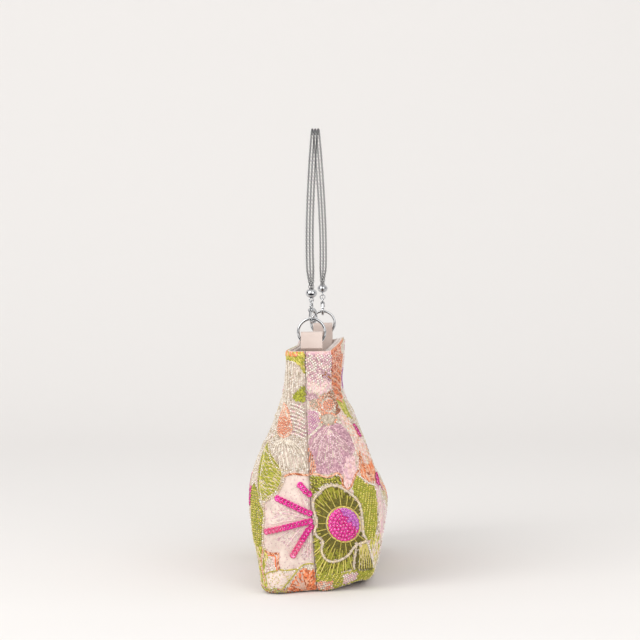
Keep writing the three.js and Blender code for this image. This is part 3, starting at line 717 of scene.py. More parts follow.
# Tabs and wire rings
def torus(bm, radius, wire, place, turn, around_steps, along_steps):
    """A closed ring of wire about the X axis, turned about Z and set in place."""
    start = bmesh.ops.create_circle(bm, radius=wire / 2, segments=around_steps)
    verts = start["verts"]
    bmesh.ops.rotate(bm, verts=verts, matrix=Matrix.Rotation(math.pi / 2, 3, "Y"), cent=(0, 0, 0))
    bmesh.ops.rotate(bm, verts=verts, matrix=Matrix.Rotation(math.pi / 2, 3, "Z"), cent=(0, 0, 0))
    bmesh.ops.translate(bm, vec=(0, 0, radius), verts=verts)
    edges = list({e for v in verts for e in v.link_edges})
    spun = bmesh.ops.spin(
        bm, geom=verts + edges, cent=(0, 0, 0), axis=(1, 0, 0), dvec=(0, 0, 0),
        angle=2 * math.pi, steps=along_steps, use_merge=True, use_duplicate=False,
    )
    whole = set(verts) | {g for g in spun["geom_last"] if isinstance(g, bmesh.types.BMVert)}
    for v in list(whole):
        whole |= linked(v)
    whole = [v for v in whole if v.is_valid]
    bmesh.ops.rotate(bm, verts=whole, matrix=Matrix.Rotation(turn, 3, "Z"), cent=(0, 0, 0))
    bmesh.ops.translate(bm, vec=place, verts=whole)


def linked(vert):
    """Every vertex joined to this one."""
    found, waiting = {vert}, [vert]
    while waiting:
        for edge in waiting.pop().link_edges:
            other = edge.verts[0] if edge.verts[1] in found else edge.verts[1]
            if other not in found:
                found.add(other)
                waiting.append(other)
    return found


def middle_of(node):
    low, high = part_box(node)
    return (low + high) / 2 / MM


RING_FACETS = (14, 72)
LOOP_FACETS = (10, 32)
LINK_FACETS = (4, 10)


def wire_ring(name, node, radius, wire, turn, body):
    bm = bmesh.new()
    torus(bm, radius, wire, middle_of(node), turn, *RING_FACETS)
    bmesh.ops.recalc_face_normals(bm, faces=bm.faces)
    return piece(name, bm, "chrome", body, [node])


RING_RADIUS = (RING_DIAMETER - RING_WIRE) / 2
TAB_BEND = 0.8
TAB_COLUMNS = 8
TAB_CREASE = math.radians(40)


def tab(name, node, ring_node, outward):
    """A satin ribbon folded over inside its ring, its two ends sewn in together under the rim."""
    gap = RING_WIRE / 2 + SEAT
    leaf = gap + TAB_LEAF / 2
    pocket = -RING_DIAMETER / 2 - SEAT
    tail = -RING_DIAMETER / 2 - TAB_TAIL
    line = [(-leaf, z) for z in steps(tail, -TAB_BEND, 16)]
    for way, turns in ((-1, (0.5, 1.0, 1.57)), (1, (1.57, 1.0, 0.5))):
        for t in turns:
            rise = (TAB_BEND - TAB_LEAF / 2) * math.sin(t)
            line.append((way * (leaf - TAB_BEND * (1 - math.cos(t))), rise - TAB_BEND))
    line += [(leaf, z) for z in steps(-TAB_BEND, pocket, 6)]
    line += [(-leaf + TAB_LEAF, z) for z in steps(pocket - 3 * TAB_LEAF, tail, 8)]
    bm = bmesh.new()
    bmesh.ops.create_grid(bm, x_segments=len(line) - 1, y_segments=TAB_COLUMNS, size=1)
    uv = bm.loops.layers.uv.verify()
    centre = middle_of(ring_node)
    spots = {}
    for v in bm.verts:
        index = round((v.co.x + 1) / 2 * (len(line) - 1))
        spots[v] = (index * MM, v.co.y * TAB_WIDTH / 2 * MM)
        x, z = line[index]
        v.co = centre + Vector((outward * -x, outward * v.co.y * TAB_WIDTH / 2, z))
    for face in bm.faces:
        for loop in face.loops:
            loop[uv].uv = spots[loop.vert]
    bmesh.ops.recalc_face_normals(bm, faces=bm.faces)
    bmesh.ops.solidify(bm, geom=bm.faces[:], thickness=TAB_LEAF)
    bmesh.ops.recalc_face_normals(bm, faces=bm.faces)
    made = piece(name, bm, "ivory_satin", "bag", [node])
    made.data.set_sharp_from_angle(angle=TAB_CREASE)
    return made


SAME_PLACE = 0.002
FLAT_ENOUGH = math.radians(2)
EDGE_TO_SOFTEN = math.radians(38)
EDGE_TO_KEEP = math.radians(32)


def replica(name, node, material, body, bevel):
    """A CAD piece again with its facets merged, its edges softened and its rounds shaded smooth."""
    bm = bmesh.new()
    bm.from_mesh(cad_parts[node].data)
    bmesh.ops.scale(bm, vec=(1 / MM, 1 / MM, 1 / MM), verts=bm.verts)
    bmesh.ops.remove_doubles(bm, verts=bm.verts, dist=SAME_PLACE)
    bmesh.ops.dissolve_limit(bm, angle_limit=FLAT_ENOUGH, verts=bm.verts, edges=bm.edges)
    sharp = [e for e in bm.edges if e.is_manifold and e.calc_face_angle() > EDGE_TO_SOFTEN]
    bmesh.ops.bevel(
        bm, geom=sharp, offset=bevel, offset_type="OFFSET", segments=2, profile=0.5,
        affect="EDGES", clamp_overlap=True, material=-1,
    )
    bmesh.ops.triangulate(bm, faces=bm.faces)
    bmesh.ops.dissolve_degenerate(bm, dist=SAME_PLACE, edges=bm.edges)
    made = piece(name, bm, material, body, [node])
    made.data.set_sharp_from_angle(angle=EDGE_TO_KEEP)
    return made


BALL_STEPS = 14
BALL_FACETS = 40
CAP_CREASE = math.radians(50)


def end_cap(name, node, loop_turn):
    """A ball that gathers the strands in its mouth, with a wire loop below."""
    low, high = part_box(node)
    foot_top = high.z / MM
    rim = math.acos((CAP_MOUTH + CAP_LIP) / (CAP_DIAMETER / 2))
    half = CAP_HEIGHT / 2
    top = half * (1 + math.sin(rim))
    centre = Vector((*middle_of(node).xy, foot_top - top))
    profile = [Vector((0, 0, 0))]
    for i in range(1, BALL_STEPS + 1):
        angle = -math.pi / 2 + (rim + math.pi / 2) * i / BALL_STEPS
        profile.append(Vector((CAP_DIAMETER / 2 * math.cos(angle), 0, half + half * math.sin(angle))))
    lip = CAP_LIP / 2
    for angle in (0.9, 1.8, 2.6):
        out = CAP_MOUTH + lip + lip * math.cos(angle)
        profile.append(Vector((out, 0, top + 0.5 * lip * math.sin(angle))))
    profile += [Vector((CAP_MOUTH, 0, top - CAP_RECESS)), Vector((0, 0, top - CAP_RECESS))]
    bm = bmesh.new()
    verts = [bm.verts.new(p) for p in profile]
    edges = [bm.edges.new(pair) for pair in zip(verts, verts[1:])]
    bmesh.ops.spin(
        bm, geom=verts + edges, cent=(0, 0, 0), axis=(0, 0, 1), dvec=(0, 0, 0),
        angle=2 * math.pi, steps=BALL_FACETS, use_merge=True, use_duplicate=False,
    )
    bmesh.ops.remove_doubles(bm, verts=bm.verts, dist=WELD)
    bmesh.ops.translate(bm, vec=centre, verts=bm.verts)
    loop_place = centre + Vector((0, 0, LOOP_SINK - LOOP_RADIUS))
    torus(bm, LOOP_RADIUS, LOOP_WIRE, loop_place, loop_turn, *LOOP_FACETS)
    bmesh.ops.recalc_face_normals(bm, faces=bm.faces)
    made = piece(name, bm, "chrome", "chain_handle", [node])
    made.data.set_sharp_from_angle(angle=CAP_CREASE)
    return centre + Vector((0, 0, top - CAP_RECESS + SEAT))


# Chain
def centripetal(points, fine):
    """A smooth line through the points, each stretch paced by the root of its length."""
    padded = [2 * points[0] - points[1]] + points + [2 * points[-1] - points[-2]]
    line = []
    for p0, p1, p2, p3 in zip(padded, padded[1:], padded[2:], padded[3:]):
        t0 = 0
        t1 = t0 + (p1 - p0).length ** 0.5
        t2 = t1 + (p2 - p1).length ** 0.5
        t3 = t2 + (p3 - p2).length ** 0.5
        for i in range(fine):
            t = t1 + (t2 - t1) * i / fine
            a1 = p0.lerp(p1, (t - t0) / (t1 - t0))
            a2 = p1.lerp(p2, (t - t1) / (t2 - t1))
            a3 = p2.lerp(p3, (t - t2) / (t3 - t2))
            b1 = a1.lerp(a2, (t - t0) / (t2 - t0))
            b2 = a2.lerp(a3, (t - t1) / (t3 - t1))
            line.append(b1.lerp(b2, (t - t1) / (t2 - t1)))
    return line + [points[-1].copy()]


def chain_points(near_mouth, far_mouth):
    """The middle strand's way: up out of one cap, over the arch and down into the other."""
    lead = Vector((0, 0, CAP_LEAD))
    points = [near_mouth, near_mouth + lead]
    for mouth, side in ((near_mouth, -1), (far_mouth, 1)):
        span = abs(mouth.x)
        foot = mouth.z + CAP_LEAD
        drop = (CHAIN_APEX - foot) / (math.hypot(span, APEX_RADIUS) - APEX_RADIUS)
        for i in range(1, LEG_STEPS):
            t = i / LEG_STEPS if side < 0 else 1 - i / LEG_STEPS
            x = span * (1 - t ** LEG_EASING)
            height = CHAIN_APEX - drop * (math.hypot(x, APEX_RADIUS) - APEX_RADIUS)
            swing = math.sin(math.pi * t)
            y = mouth.y * (1 - t) + RING_OFFSET * t - side * CHAIN_BOW * swing
            points.append(Vector((side * x, y, height - CHAIN_SAG * swing)))
        if side < 0:
            points.append(Vector((0, RING_OFFSET, CHAIN_APEX)))
    return points + [far_mouth + lead, far_mouth]


def link_mesh():
    """One oval wire link that lies along X and is flat in XY."""
    bm = bmesh.new()
    radius = (LINK_WIDTH - LINK_WIRE) / 2
    torus(bm, radius, LINK_WIRE, Vector((0, 0, 0)), 0, *LINK_FACETS)
    bmesh.ops.rotate(bm, verts=bm.verts, matrix=Matrix.Rotation(math.pi / 2, 3, "Y"), cent=(0, 0, 0))
    stretch = (LINK_LENGTH - LINK_WIDTH) / 2
    for v in bm.verts:
        v.co.x += stretch * max(-1, min(1, v.co.x / (radius * 0.5)))
    bmesh.ops.recalc_face_normals(bm, faces=bm.faces)
    data = bpy.data.meshes.new("link")
    bm.to_mesh(data)
    bm.free()
    return data


LINE_STEPS = 24
STRAND_TURN = 120


def make_chain(near_mouth, far_mouth):
    """Three strands side by side that gather in a twist at both caps."""
    line = centripetal(chain_points(near_mouth, far_mouth), LINE_STEPS)
    gone = [0.0]
    for a, b in zip(line, line[1:]):
        gone.append(gone[-1] + (b - a).length)
    total = gone[-1]
    template = link_mesh()
    rest = [c for v in template.vertices for c in v.co]
    pitch = LINK_LENGTH - 2 * LINK_WIRE
    count = round(total / pitch)
    for number, name in enumerate(("back", "middle", "front")):
        gathered = math.radians(GATHER_START - STRAND_TURN * number)
        places = []
        index = 0
        for i in range(count + 1):
            far = total * i / count
            while gone[index + 1] < far and index < len(line) - 2:
                index += 1
            t = (far - gone[index]) / (gone[index + 1] - gone[index])
            centre = line[index].lerp(line[index + 1], t)
            along = (line[index + 1] - line[index]).normalized()
            out = Vector((0, 1, 0)).cross(along).normalized()
            level = along.cross(out).normalized()
            spread = ease(min(far, total - far) / GATHER_LENGTH)
            u = STRAND_SPACING * (number - 1) * spread + STRAND_GATHER * math.cos(gathered) * (1 - spread)
            v = STRAND_GATHER * math.sin(gathered) * (1 - spread)
            places.append((centre + level * u + out * v, along, level))
        bm = bmesh.new()
        for i, (centre, along, level) in enumerate(places):
            turn = Matrix.Rotation(math.radians(LINK_TURNS[i % 2]), 3, along)
            side = turn @ level
            frame_here = Matrix((along, side, along.cross(side))).transposed().to_4x4()
            template.vertices.foreach_set("co", rest)
            template.transform(Matrix.Translation(centre) @ frame_here)
            bm.from_mesh(template)
        strand = [f"chain_strand_{name}"]
        piece(f"chain_links_{name}", bm, "chain_steel", "chain_handle", strand)


# Each piece of a lobster clasp: its name, node, material and body, and how far its edges are softened
CLASP_PIECES = (
    ("lobster", "clasp", "chrome", "clasp", 0.12),
    ("lobster_gate", "gate", "chrome", "gate", 0.08),
    ("lobster_pin", "gate_pin", "snap_steel", "clasp", 0.06),
)
SNAP_BEVEL = 0.25


def make_hardware():
    for end in ("near", "far"):
        wire_ring(f"o_ring_{end}", f"ring_{end}", RING_RADIUS, RING_WIRE - RING_SLACK, 0, f"{end}_ring")
    turned = math.pi / 2 + math.radians(NEAR_JUMP_TURN)
    for end, turn, body in (("near", turned, "near_clasp"), ("far", 0, "chain_handle")):
        wire_ring(f"small_ring_{end}", f"jump_ring_{end}", JUMP_RADIUS, JUMP_WIRE, turn, body)
    tab("tab_ribbon_near", "tab_near", "ring_near", 1)
    tab("tab_ribbon_far", "tab_far", "ring_far", -1)
    for end in ("near", "far"):
        for name, node, material, body, bevel in CLASP_PIECES:
            replica(f"{name}_{end}", f"{node}_{end}", material, f"{end}_{body}", bevel)
    for half in ("snap_socket", "snap_stud", "snap_washer_front", "snap_washer_back"):
        made = replica(f"{half}_metal", half, "snap_steel", "bag", SNAP_BEVEL)
        for v in made.data.vertices:
            v.co.y = fallen_in(*(v.co / MM)) * MM
    near_mouth = end_cap("ball_cap_near", "end_cap_near", 0)
    far_mouth = end_cap("ball_cap_far", "end_cap_far", math.pi / 2)
    make_chain(near_mouth, far_mouth)


# Needlework: every stitch, bead and sequin is a copy of one small mesh, set on the skin
STITCH = "stitch"
BEAD = "bead"
SEQUIN = "sequin"
CELL = 0.5
LOWEST_STITCH = 0.8
HIGHEST_STITCH = 155.4
SEAM_CLEAR = 0.55
HIGHEST_LINE = HIGHEST_STITCH + 1
BEAD_CLEAR = 0.6
CORD_CLEAR = 0.7
EDGE_CLEAR = 1.2
STITCH_END = 0.45
STITCH_FULLNESS = (1.2, 1.15, 1.15)
SEQUIN_PROFILE = [(0.5, 0.16), (0.34, 0.02), (0.12, 0.0), (0.12, -0.05), (0.36, -0.04)]
SEQUIN_FACETS = 10

# How closely copies are laid, as shares of their own length or width
BEAD_STEP = 0.97
STITCH_STEP = 0.86
THREAD_ROW = 0.8
BEAD_ROW = 1.02
RAY_STEP = 0.62
RAY_ROW = 0.88
SEQUIN_STEP = 0.8
SEQUIN_ROW = 0.74
SEQUIN_RIM = 0.42
SEQUIN_HEART = 0.3

work = {}
taken = {FRONT: set(), BACK: set()}


def stitch_shape(bm):
    """A loop of thread as it lies on the cloth: a spindle along X with full ends."""
    bmesh.ops.create_uvsphere(bm, u_segments=4, v_segments=3, radius=0.5)
    bmesh.ops.rotate(bm, verts=bm.verts, matrix=Matrix.Rotation(math.pi / 2, 3, "Y"), cent=(0, 0, 0))
    for v in bm.verts:
        if abs(v.co.x) < STITCH_END:
            v.co = Vector([c * fuller for c, fuller in zip(v.co, STITCH_FULLNESS)])


def bead_shape(bm):
    bmesh.ops.create_uvsphere(bm, u_segments=6, v_segments=4, radius=0.5)


def sequin_shape(bm):
    """A cupped disc with a hole through its middle, one unit across."""
    verts = [bm.verts.new((r, 0, z)) for r, z in SEQUIN_PROFILE]
    edges = [bm.edges.new((a, b)) for a, b in zip(verts, verts[1:] + verts[:1])]
    bmesh.ops.spin(
        bm, geom=verts + edges, cent=(0, 0, 0), axis=(0, 0, 1), dvec=(0, 0, 0),
        angle=2 * math.pi, steps=SEQUIN_FACETS, use_merge=True, use_duplicate=False,
    )


def small_mesh(name, shape):
    bm = bmesh.new()
    shape(bm)
    bmesh.ops.recalc_face_normals(bm, faces=bm.faces)
    data = bpy.data.meshes.new(name)
    bm.to_mesh(data)
    bm.free()
    return data, [c for v in data.vertices for c in v.co]


SMALL = {
    STITCH: small_mesh(STITCH, stitch_shape),
    BEAD: small_mesh(BEAD, bead_shape),
    SEQUIN: small_mesh(SEQUIN, sequin_shape),
}
NUDGE = 0.3


def footing(side, s, z):
    """A place on the skin with its two directions along the skin and the one out of it."""
    along = (skin(side, s + NUDGE, z) - skin(side, s - NUDGE, z)).normalized()
    upward = (skin(side, s, z + NUDGE) - skin(side, s, z - NUDGE)).normalized()
    return skin(side, s, z), along, upward, along.cross(upward).normalized() * -side


def stamp(kind, side, s, z, tone, angle, size, lift, tip=0.0):
    """Sets one copy down. The angle runs from along the skin towards the rim, and tip leans it back."""
    place, along, upward, out = footing(side, s, z)
    heading = (along * math.cos(angle) + upward * math.sin(angle)).normalized()
    across = out.cross(heading).normalized()
    if tip:
        lean = Matrix.Rotation(tip, 3, across)
        heading, out = lean @ heading, lean @ out
    length, width, height = size
    matrix = Matrix((heading * length, across * width, out * height)).transposed().to_4x4()
    matrix.translation = place + out * lift
    mesh, rest = SMALL[kind]
    mesh.vertices.foreach_set("co", rest)
    mesh.transform(matrix)
    if (side, tone) not in work:
        work[side, tone] = bmesh.new()
    work[side, tone].from_mesh(mesh)


def rounded(points, closed=True, fine=4):
    """The points as a smooth line, closed on itself or open."""
    count = len(points)
    line = []
    for i in range(count if closed else count - 1):
        if closed:
            four = [points[(i + k) % count] for k in (-1, 0, 1, 2)]
        else:
            four = [points[min(max(i + k, 0), count - 1)] for k in (-1, 0, 1, 2)]
        for j in range(fine):
            t = j / fine
            shares = (
                -t / 2 + t * t - t ** 3 / 2,
                1 - 2.5 * t * t + 1.5 * t ** 3,
                t / 2 + 2 * t * t - 1.5 * t ** 3,
                -t * t / 2 + t ** 3 / 2,
            )
            line.append(tuple(sum(w * p[k] for w, p in zip(shares, four)) for k in (0, 1)))
    return line if closed else line + [points[-1]]


def open_line(points, fine=4):
    return rounded(points, False, fine)


def inside(outline, s, z):
    """Whether a place lies inside a closed outline, by the edges it would cross on its way out."""
    found = False
    s0, z0 = outline[-1]
    for s1, z1 in outline:
        if (z1 > z) != (z0 > z) and s < (s0 - s1) * (z - z1) / (z0 - z1) + s1:
            found = not found
        s0, z0 = s1, z1
    return found


def span(outline):
    """The least and greatest of the first values, then of the second ones."""
    first = [p[0] for p in outline]
    second = [p[1] for p in outline]
    return min(first), max(first), min(second), max(second)


def claim(side, outline):
    """Marks what lies inside an outline as done, so that nothing laid later covers it."""
    low_s, high_s, low_z, high_z = span(outline)
    for i in range(int(low_s / CELL) - 1, int(high_s / CELL) + 2):
        for j in range(int(low_z / CELL) - 1, int(high_z / CELL) + 2):
            if inside(outline, (i + 0.5) * CELL, (j + 0.5) * CELL):
                taken[side].add((i, j))


def mark_round(side, s, z, reach):
    """Marks the cells round one bead, stitch or sequin as done."""
    for i in range(int((s - reach) // CELL), int((s + reach) // CELL) + 1):
        for j in range(int((z - reach) // CELL), int((z + reach) // CELL) + 1):
            taken[side].add((i, j))


def is_free(side, s, z):
    if z < LOWEST_STITCH or z > HIGHEST_STITCH:
        return False
    whole = whole_run(side, z)
    if s < SEAM_CLEAR or s > whole - SEAM_CLEAR:
        return False
    return (int(s // CELL), int(z // CELL)) not in taken[side]


def fill_rows(side, outline, angle, tones, size, row, kind, lift):
    """Straight rows across an outline, in stitches or in beads."""
    cos, sin = math.cos(angle), math.sin(angle)
    low_u, high_u, low_v, high_v = span([(s * cos + z * sin, z * cos - s * sin) for s, z in outline])
    step = size[0] * (BEAD_STEP if kind == BEAD else STITCH_STEP)
    v = low_v
    while v < high_v:
        u = low_u - dice.random() * step
        while u < high_u:
            s, z = u * cos - v * sin, u * sin + v * cos
            if inside(outline, s, z) and is_free(side, s, z):
                stamp(kind, side, s, z, dice.choice(tones), angle, size, lift)
            u += step
        v += row


def threads(side, outline, angle, tones, length=2.8, width=0.66, lift=0.1):
    """Satin stitch: the outline filled with close stitches, then claimed."""
    fill_rows(side, outline, angle, tones, (length, width, width * 0.85), width * THREAD_ROW, STITCH, lift)
    claim(side, outline)


def beads(side, outline, angle, tones, size=1.3):
    """The outline filled with rows of seed beads, then claimed."""
    shape = (size, size * 0.95, size * 0.8)
    fill_rows(side, outline, angle, tones, shape, size * BEAD_ROW, BEAD, size * 0.25)
    claim(side, outline)


RAY_LIFT = 0.1
RAY_WOBBLE = 0.25
LIGHT_RAY_LIFT = 0.4
CROWDED_SHARE = 0.62
OUTER_START = 0.6
OUTER_SPREAD = 0.15


def fill_rays(side, centre, outline, tones, size, start, ray=None, squash=1.0, outer=None):
    """Stitches that all point away from a centre, in the outer tones towards the edge.

    ray is (tone, degrees apart) for the light lines between them.
    """
    reach = max(math.hypot(s - centre[0], z - centre[1]) for s, z in outline)
    step = size[0] * RAY_STEP
    r = start + step / 2
    ring_number = 0
    while r < reach:
        count = max(4, round(2 * math.pi * r / (size[1] * RAY_ROW)))
        for i in range(count):
            angle = 2 * math.pi * (i + 0.5 * (ring_number % 2)) / count
            s = centre[0] + r * math.cos(angle)
            z = centre[1] + r * math.sin(angle) * squash
            if inside(outline, s, z) and is_free(side, s, z):
                beyond = outer and r > reach * (OUTER_START + OUTER_SPREAD * dice.random())
                stamp(STITCH, side, s, z, dice.choice(outer if beyond else tones), angle, size, RAY_LIFT)
        if ray:
            tone, apart = ray
            for i in range(int(360 / apart)):
                angle = math.radians((i + RAY_WOBBLE * math.sin(2.4 * i)) * apart)
                s = centre[0] + r * math.cos(angle)
                z = centre[1] + r * math.sin(angle) * squash
                crowded = i % 2 and r < reach * CROWDED_SHARE
                if not crowded and inside(outline, s, z) and is_free(side, s, z):
                    stamp(STITCH, side, s, z, tone, angle, (size[0] * 1.05, 0.6, 0.7), LIGHT_RAY_LIFT)
        r += step
        ring_number += 1
    claim(side, outline)


def walk(points, pitch):
    """Evenly spaced places along a line, each with its heading."""
    places = []
    left = 0.0
    for (s0, z0), (s1, z1) in zip(points, points[1:]):
        length = math.hypot(s1 - s0, z1 - z0)
        heading = math.atan2(z1 - z0, s1 - s0)
        while left <= length and length > 0:
            t = left / length
            places.append((s0 + (s1 - s0) * t, z0 + (z1 - z0) * t, heading))
            left += pitch
        left -= length
    return places


def bead_line(side, points, tones, size=1.3, pitch=None, mark=True):
    """A row of beads couched along a line."""
    for s, z, heading in walk(points, pitch or size * BEAD_ROW):
        if LOWEST_STITCH < z < HIGHEST_LINE:
            shape = (size * 0.92, size, size * 0.9)
            stamp(BEAD, side, max(s, BEAD_CLEAR), z, dice.choice(tones), heading, shape, size * 0.32)
            if mark:
                mark_round(side, s, z, size * 0.3)


CORD_SLANT = 0.55


def cord(side, points, tones, width=1.1, mark=True):
    """A twisted cord: short slanted stitches that follow a line."""
    for s, z, heading in walk(points, max(width * 0.5, 0.5)):
        if LOWEST_STITCH < z < HIGHEST_LINE:
            shape = (max(width * 1.7, 1.1), width * 0.72, width * 0.85)
            angle = heading + CORD_SLANT
            stamp(STITCH, side, max(s, CORD_CLEAR), z, dice.choice(tones), angle, shape, width * 0.25)
            if mark:
                mark_round(side, s, z, width * 0.35)


def free_part(side, points, outline=None):
    """The points that lie on free ground, and inside the outline if one is given."""
    return [p for p in points if is_free(side, *p) and (outline is None or inside(outline, *p))]


def cord_within(side, points, outline, tones, width):
    """A cord along a smooth line, as far as it lies on free ground inside an outline."""
    cord(side, free_part(side, open_line(points), outline), tones, width)


OVAL_STEPS = 40


def oval(centre, radii):
    turns = [2 * math.pi * i / OVAL_STEPS for i in range(OVAL_STEPS)]
    return [(centre[0] + radii[0] * math.cos(t), centre[1] + radii[1] * math.sin(t)) for t in turns]


def ring(side, centre, radii, tones, size, laid=bead_line):
    """Beads, or a cord, laid once round an oval."""
    loop = oval(centre, radii)
    laid(side, loop + loop[:1], tones, size)


def bead_disc(side, centre, radii, tones, size):
    """Rings of beads one inside the other, from the rim to the middle."""
    share = 1.0
    while share * min(radii) > size * 0.4:
        ring(side, centre, (radii[0] * share, radii[1] * share), tones, size)
        share -= size * BEAD_ROW / min(radii)
    stamp(BEAD, side, *centre, tones[0], 0, (size, size, size), size * 0.4)
    claim(side, oval(centre, radii))


def bead_rosette(side, centre, radius, tones, heart, size=1.1):
    """A little ring of beads round one of another colour."""
    ring(side, centre, (radius, radius), tones, size)
    stamp(BEAD, side, *centre, heart, 0, (radius, radius, radius * 0.8), radius * 0.35)
    claim(side, oval(centre, (radius, radius)))


SEQUIN_LIFT = 0.75
SEQUIN_TIP = -0.16
SMALL_BEAD = (0.7, 0.7, 0.5)
SMALL_BEAD_LIFT = 1.0
RAY_SEQUIN = 4.4
RAY_PITCH = 2.5
DISC_SEQUIN = 2.9


def sequin_at(side, s, z, tone, heading, across):
    """A cup sequin held by a small bead at its middle. The bead's near-white pink is partly a painted
    highlight, the glint in the cup.
    """
    stamp(SEQUIN, side, s, z, tone, heading, (across, across, across * 1.1), SEQUIN_LIFT, tip=SEQUIN_TIP)
    # The small near-white bead is also a painted highlight: it paints the glint in the middle of the cup
    stamp(BEAD, side, s, z, "bead_pink", heading, SMALL_BEAD, SMALL_BEAD_LIFT)


def sequin_ray(side, start, end, tones):
    """Overlapping cup sequins along a straight line. The tones go from its start to its end."""
    length = math.hypot(end[0] - start[0], end[1] - start[1])
    heading = math.atan2(end[1] - start[1], end[0] - start[0])
    count = round(length / RAY_PITCH)
    for i in range(count + 1):
        t = i / count
        s, z = start[0] + (end[0] - start[0]) * t, start[1] + (end[1] - start[1]) * t
        tone = tones[min(int(t * len(tones)), len(tones) - 1)]
        sequin_at(side, max(s, EDGE_CLEAR), z, tone, heading, RAY_SEQUIN)
        mark_round(side, s, z, RAY_SEQUIN * 0.4)


def sequin_disc(side, centre, radii, tone_at):
    """Sequins in rings, overlapped like scales, with a tone for each angle and share of the radius."""
    across = DISC_SEQUIN
    share = 1.0 - across * SEQUIN_RIM / min(radii)
    while share * min(radii) > across * SEQUIN_HEART:
        count = max(1, round(2 * math.pi * share * sum(radii) / 2 / (across * SEQUIN_STEP)))
        for i in range(count):
            angle = 2 * math.pi * (i + dice.random() * 0.3) / count
            s = centre[0] + radii[0] * share * math.cos(angle)
            z = centre[1] + radii[1] * share * math.sin(angle)
            sequin_at(side, s, z, tone_at(angle, share), angle + math.pi, across)
        share -= across * SEQUIN_ROW / min(radii)
    sequin_at(side, *centre, tone_at(0, 0), 0, across)
    claim(side, oval(centre, radii))


def dust(side, outline, tones, count, angle, spread, size=(1.3, 0.42, 0.35)):
    """Loose short stitches scattered over an outline, most of them along one angle."""
    low_s, high_s, low_z, high_z = span(outline)
    for _ in range(count):
        s, z = dice.uniform(low_s, high_s), dice.uniform(low_z, high_z)
        if inside(outline, s, z) and is_free(side, s, z):
            stamp(STITCH, side, s, z, dice.choice(tones), angle + dice.uniform(-spread, spread), size, 0.1)


def named(kind, words):
    return [f"{kind}_{word}" for word in words.split()]


def yarn(words):
    """Tones of thread."""
    return named("thread", words)


def seed(words):
    """Tones of seed beads."""
    return named("bead", words)


def cups(words):
    """Tones of cup sequins."""
    return named("sequin", words)


# Motifs. A place is (distance from the near side seam, height), and what is laid first lies on top
LEAF_TONES = yarn("lime lime lime_dark")
OLIVE_TONES = yarn("olive olive olive_dark")
BRIGHT_OLIVE = yarn("lime_dark lime olive lime_dark")
IVORY_BEADS = seed("ivory pearl ivory sand")
CORAL_BEADS = seed("coral coral peach")
PETAL_EDGE = seed("cream cream ivory")
COPPER_CORD = yarn("peach copper")
GOLD_CORD = yarn("gold gold lime_dark")
HEART_CORD = seed("gold") + yarn("yellow")
PETAL_STITCH = (2.6, 0.8, 0.6)
HEART_EDGE = 0.9
FAN_PETAL = ((0, 0), (0.35, 0.8), (0.7, 1), (0.92, 0.7), (1, 0), (0.92, -0.7), (0.7, -1), (0.35, -0.8))


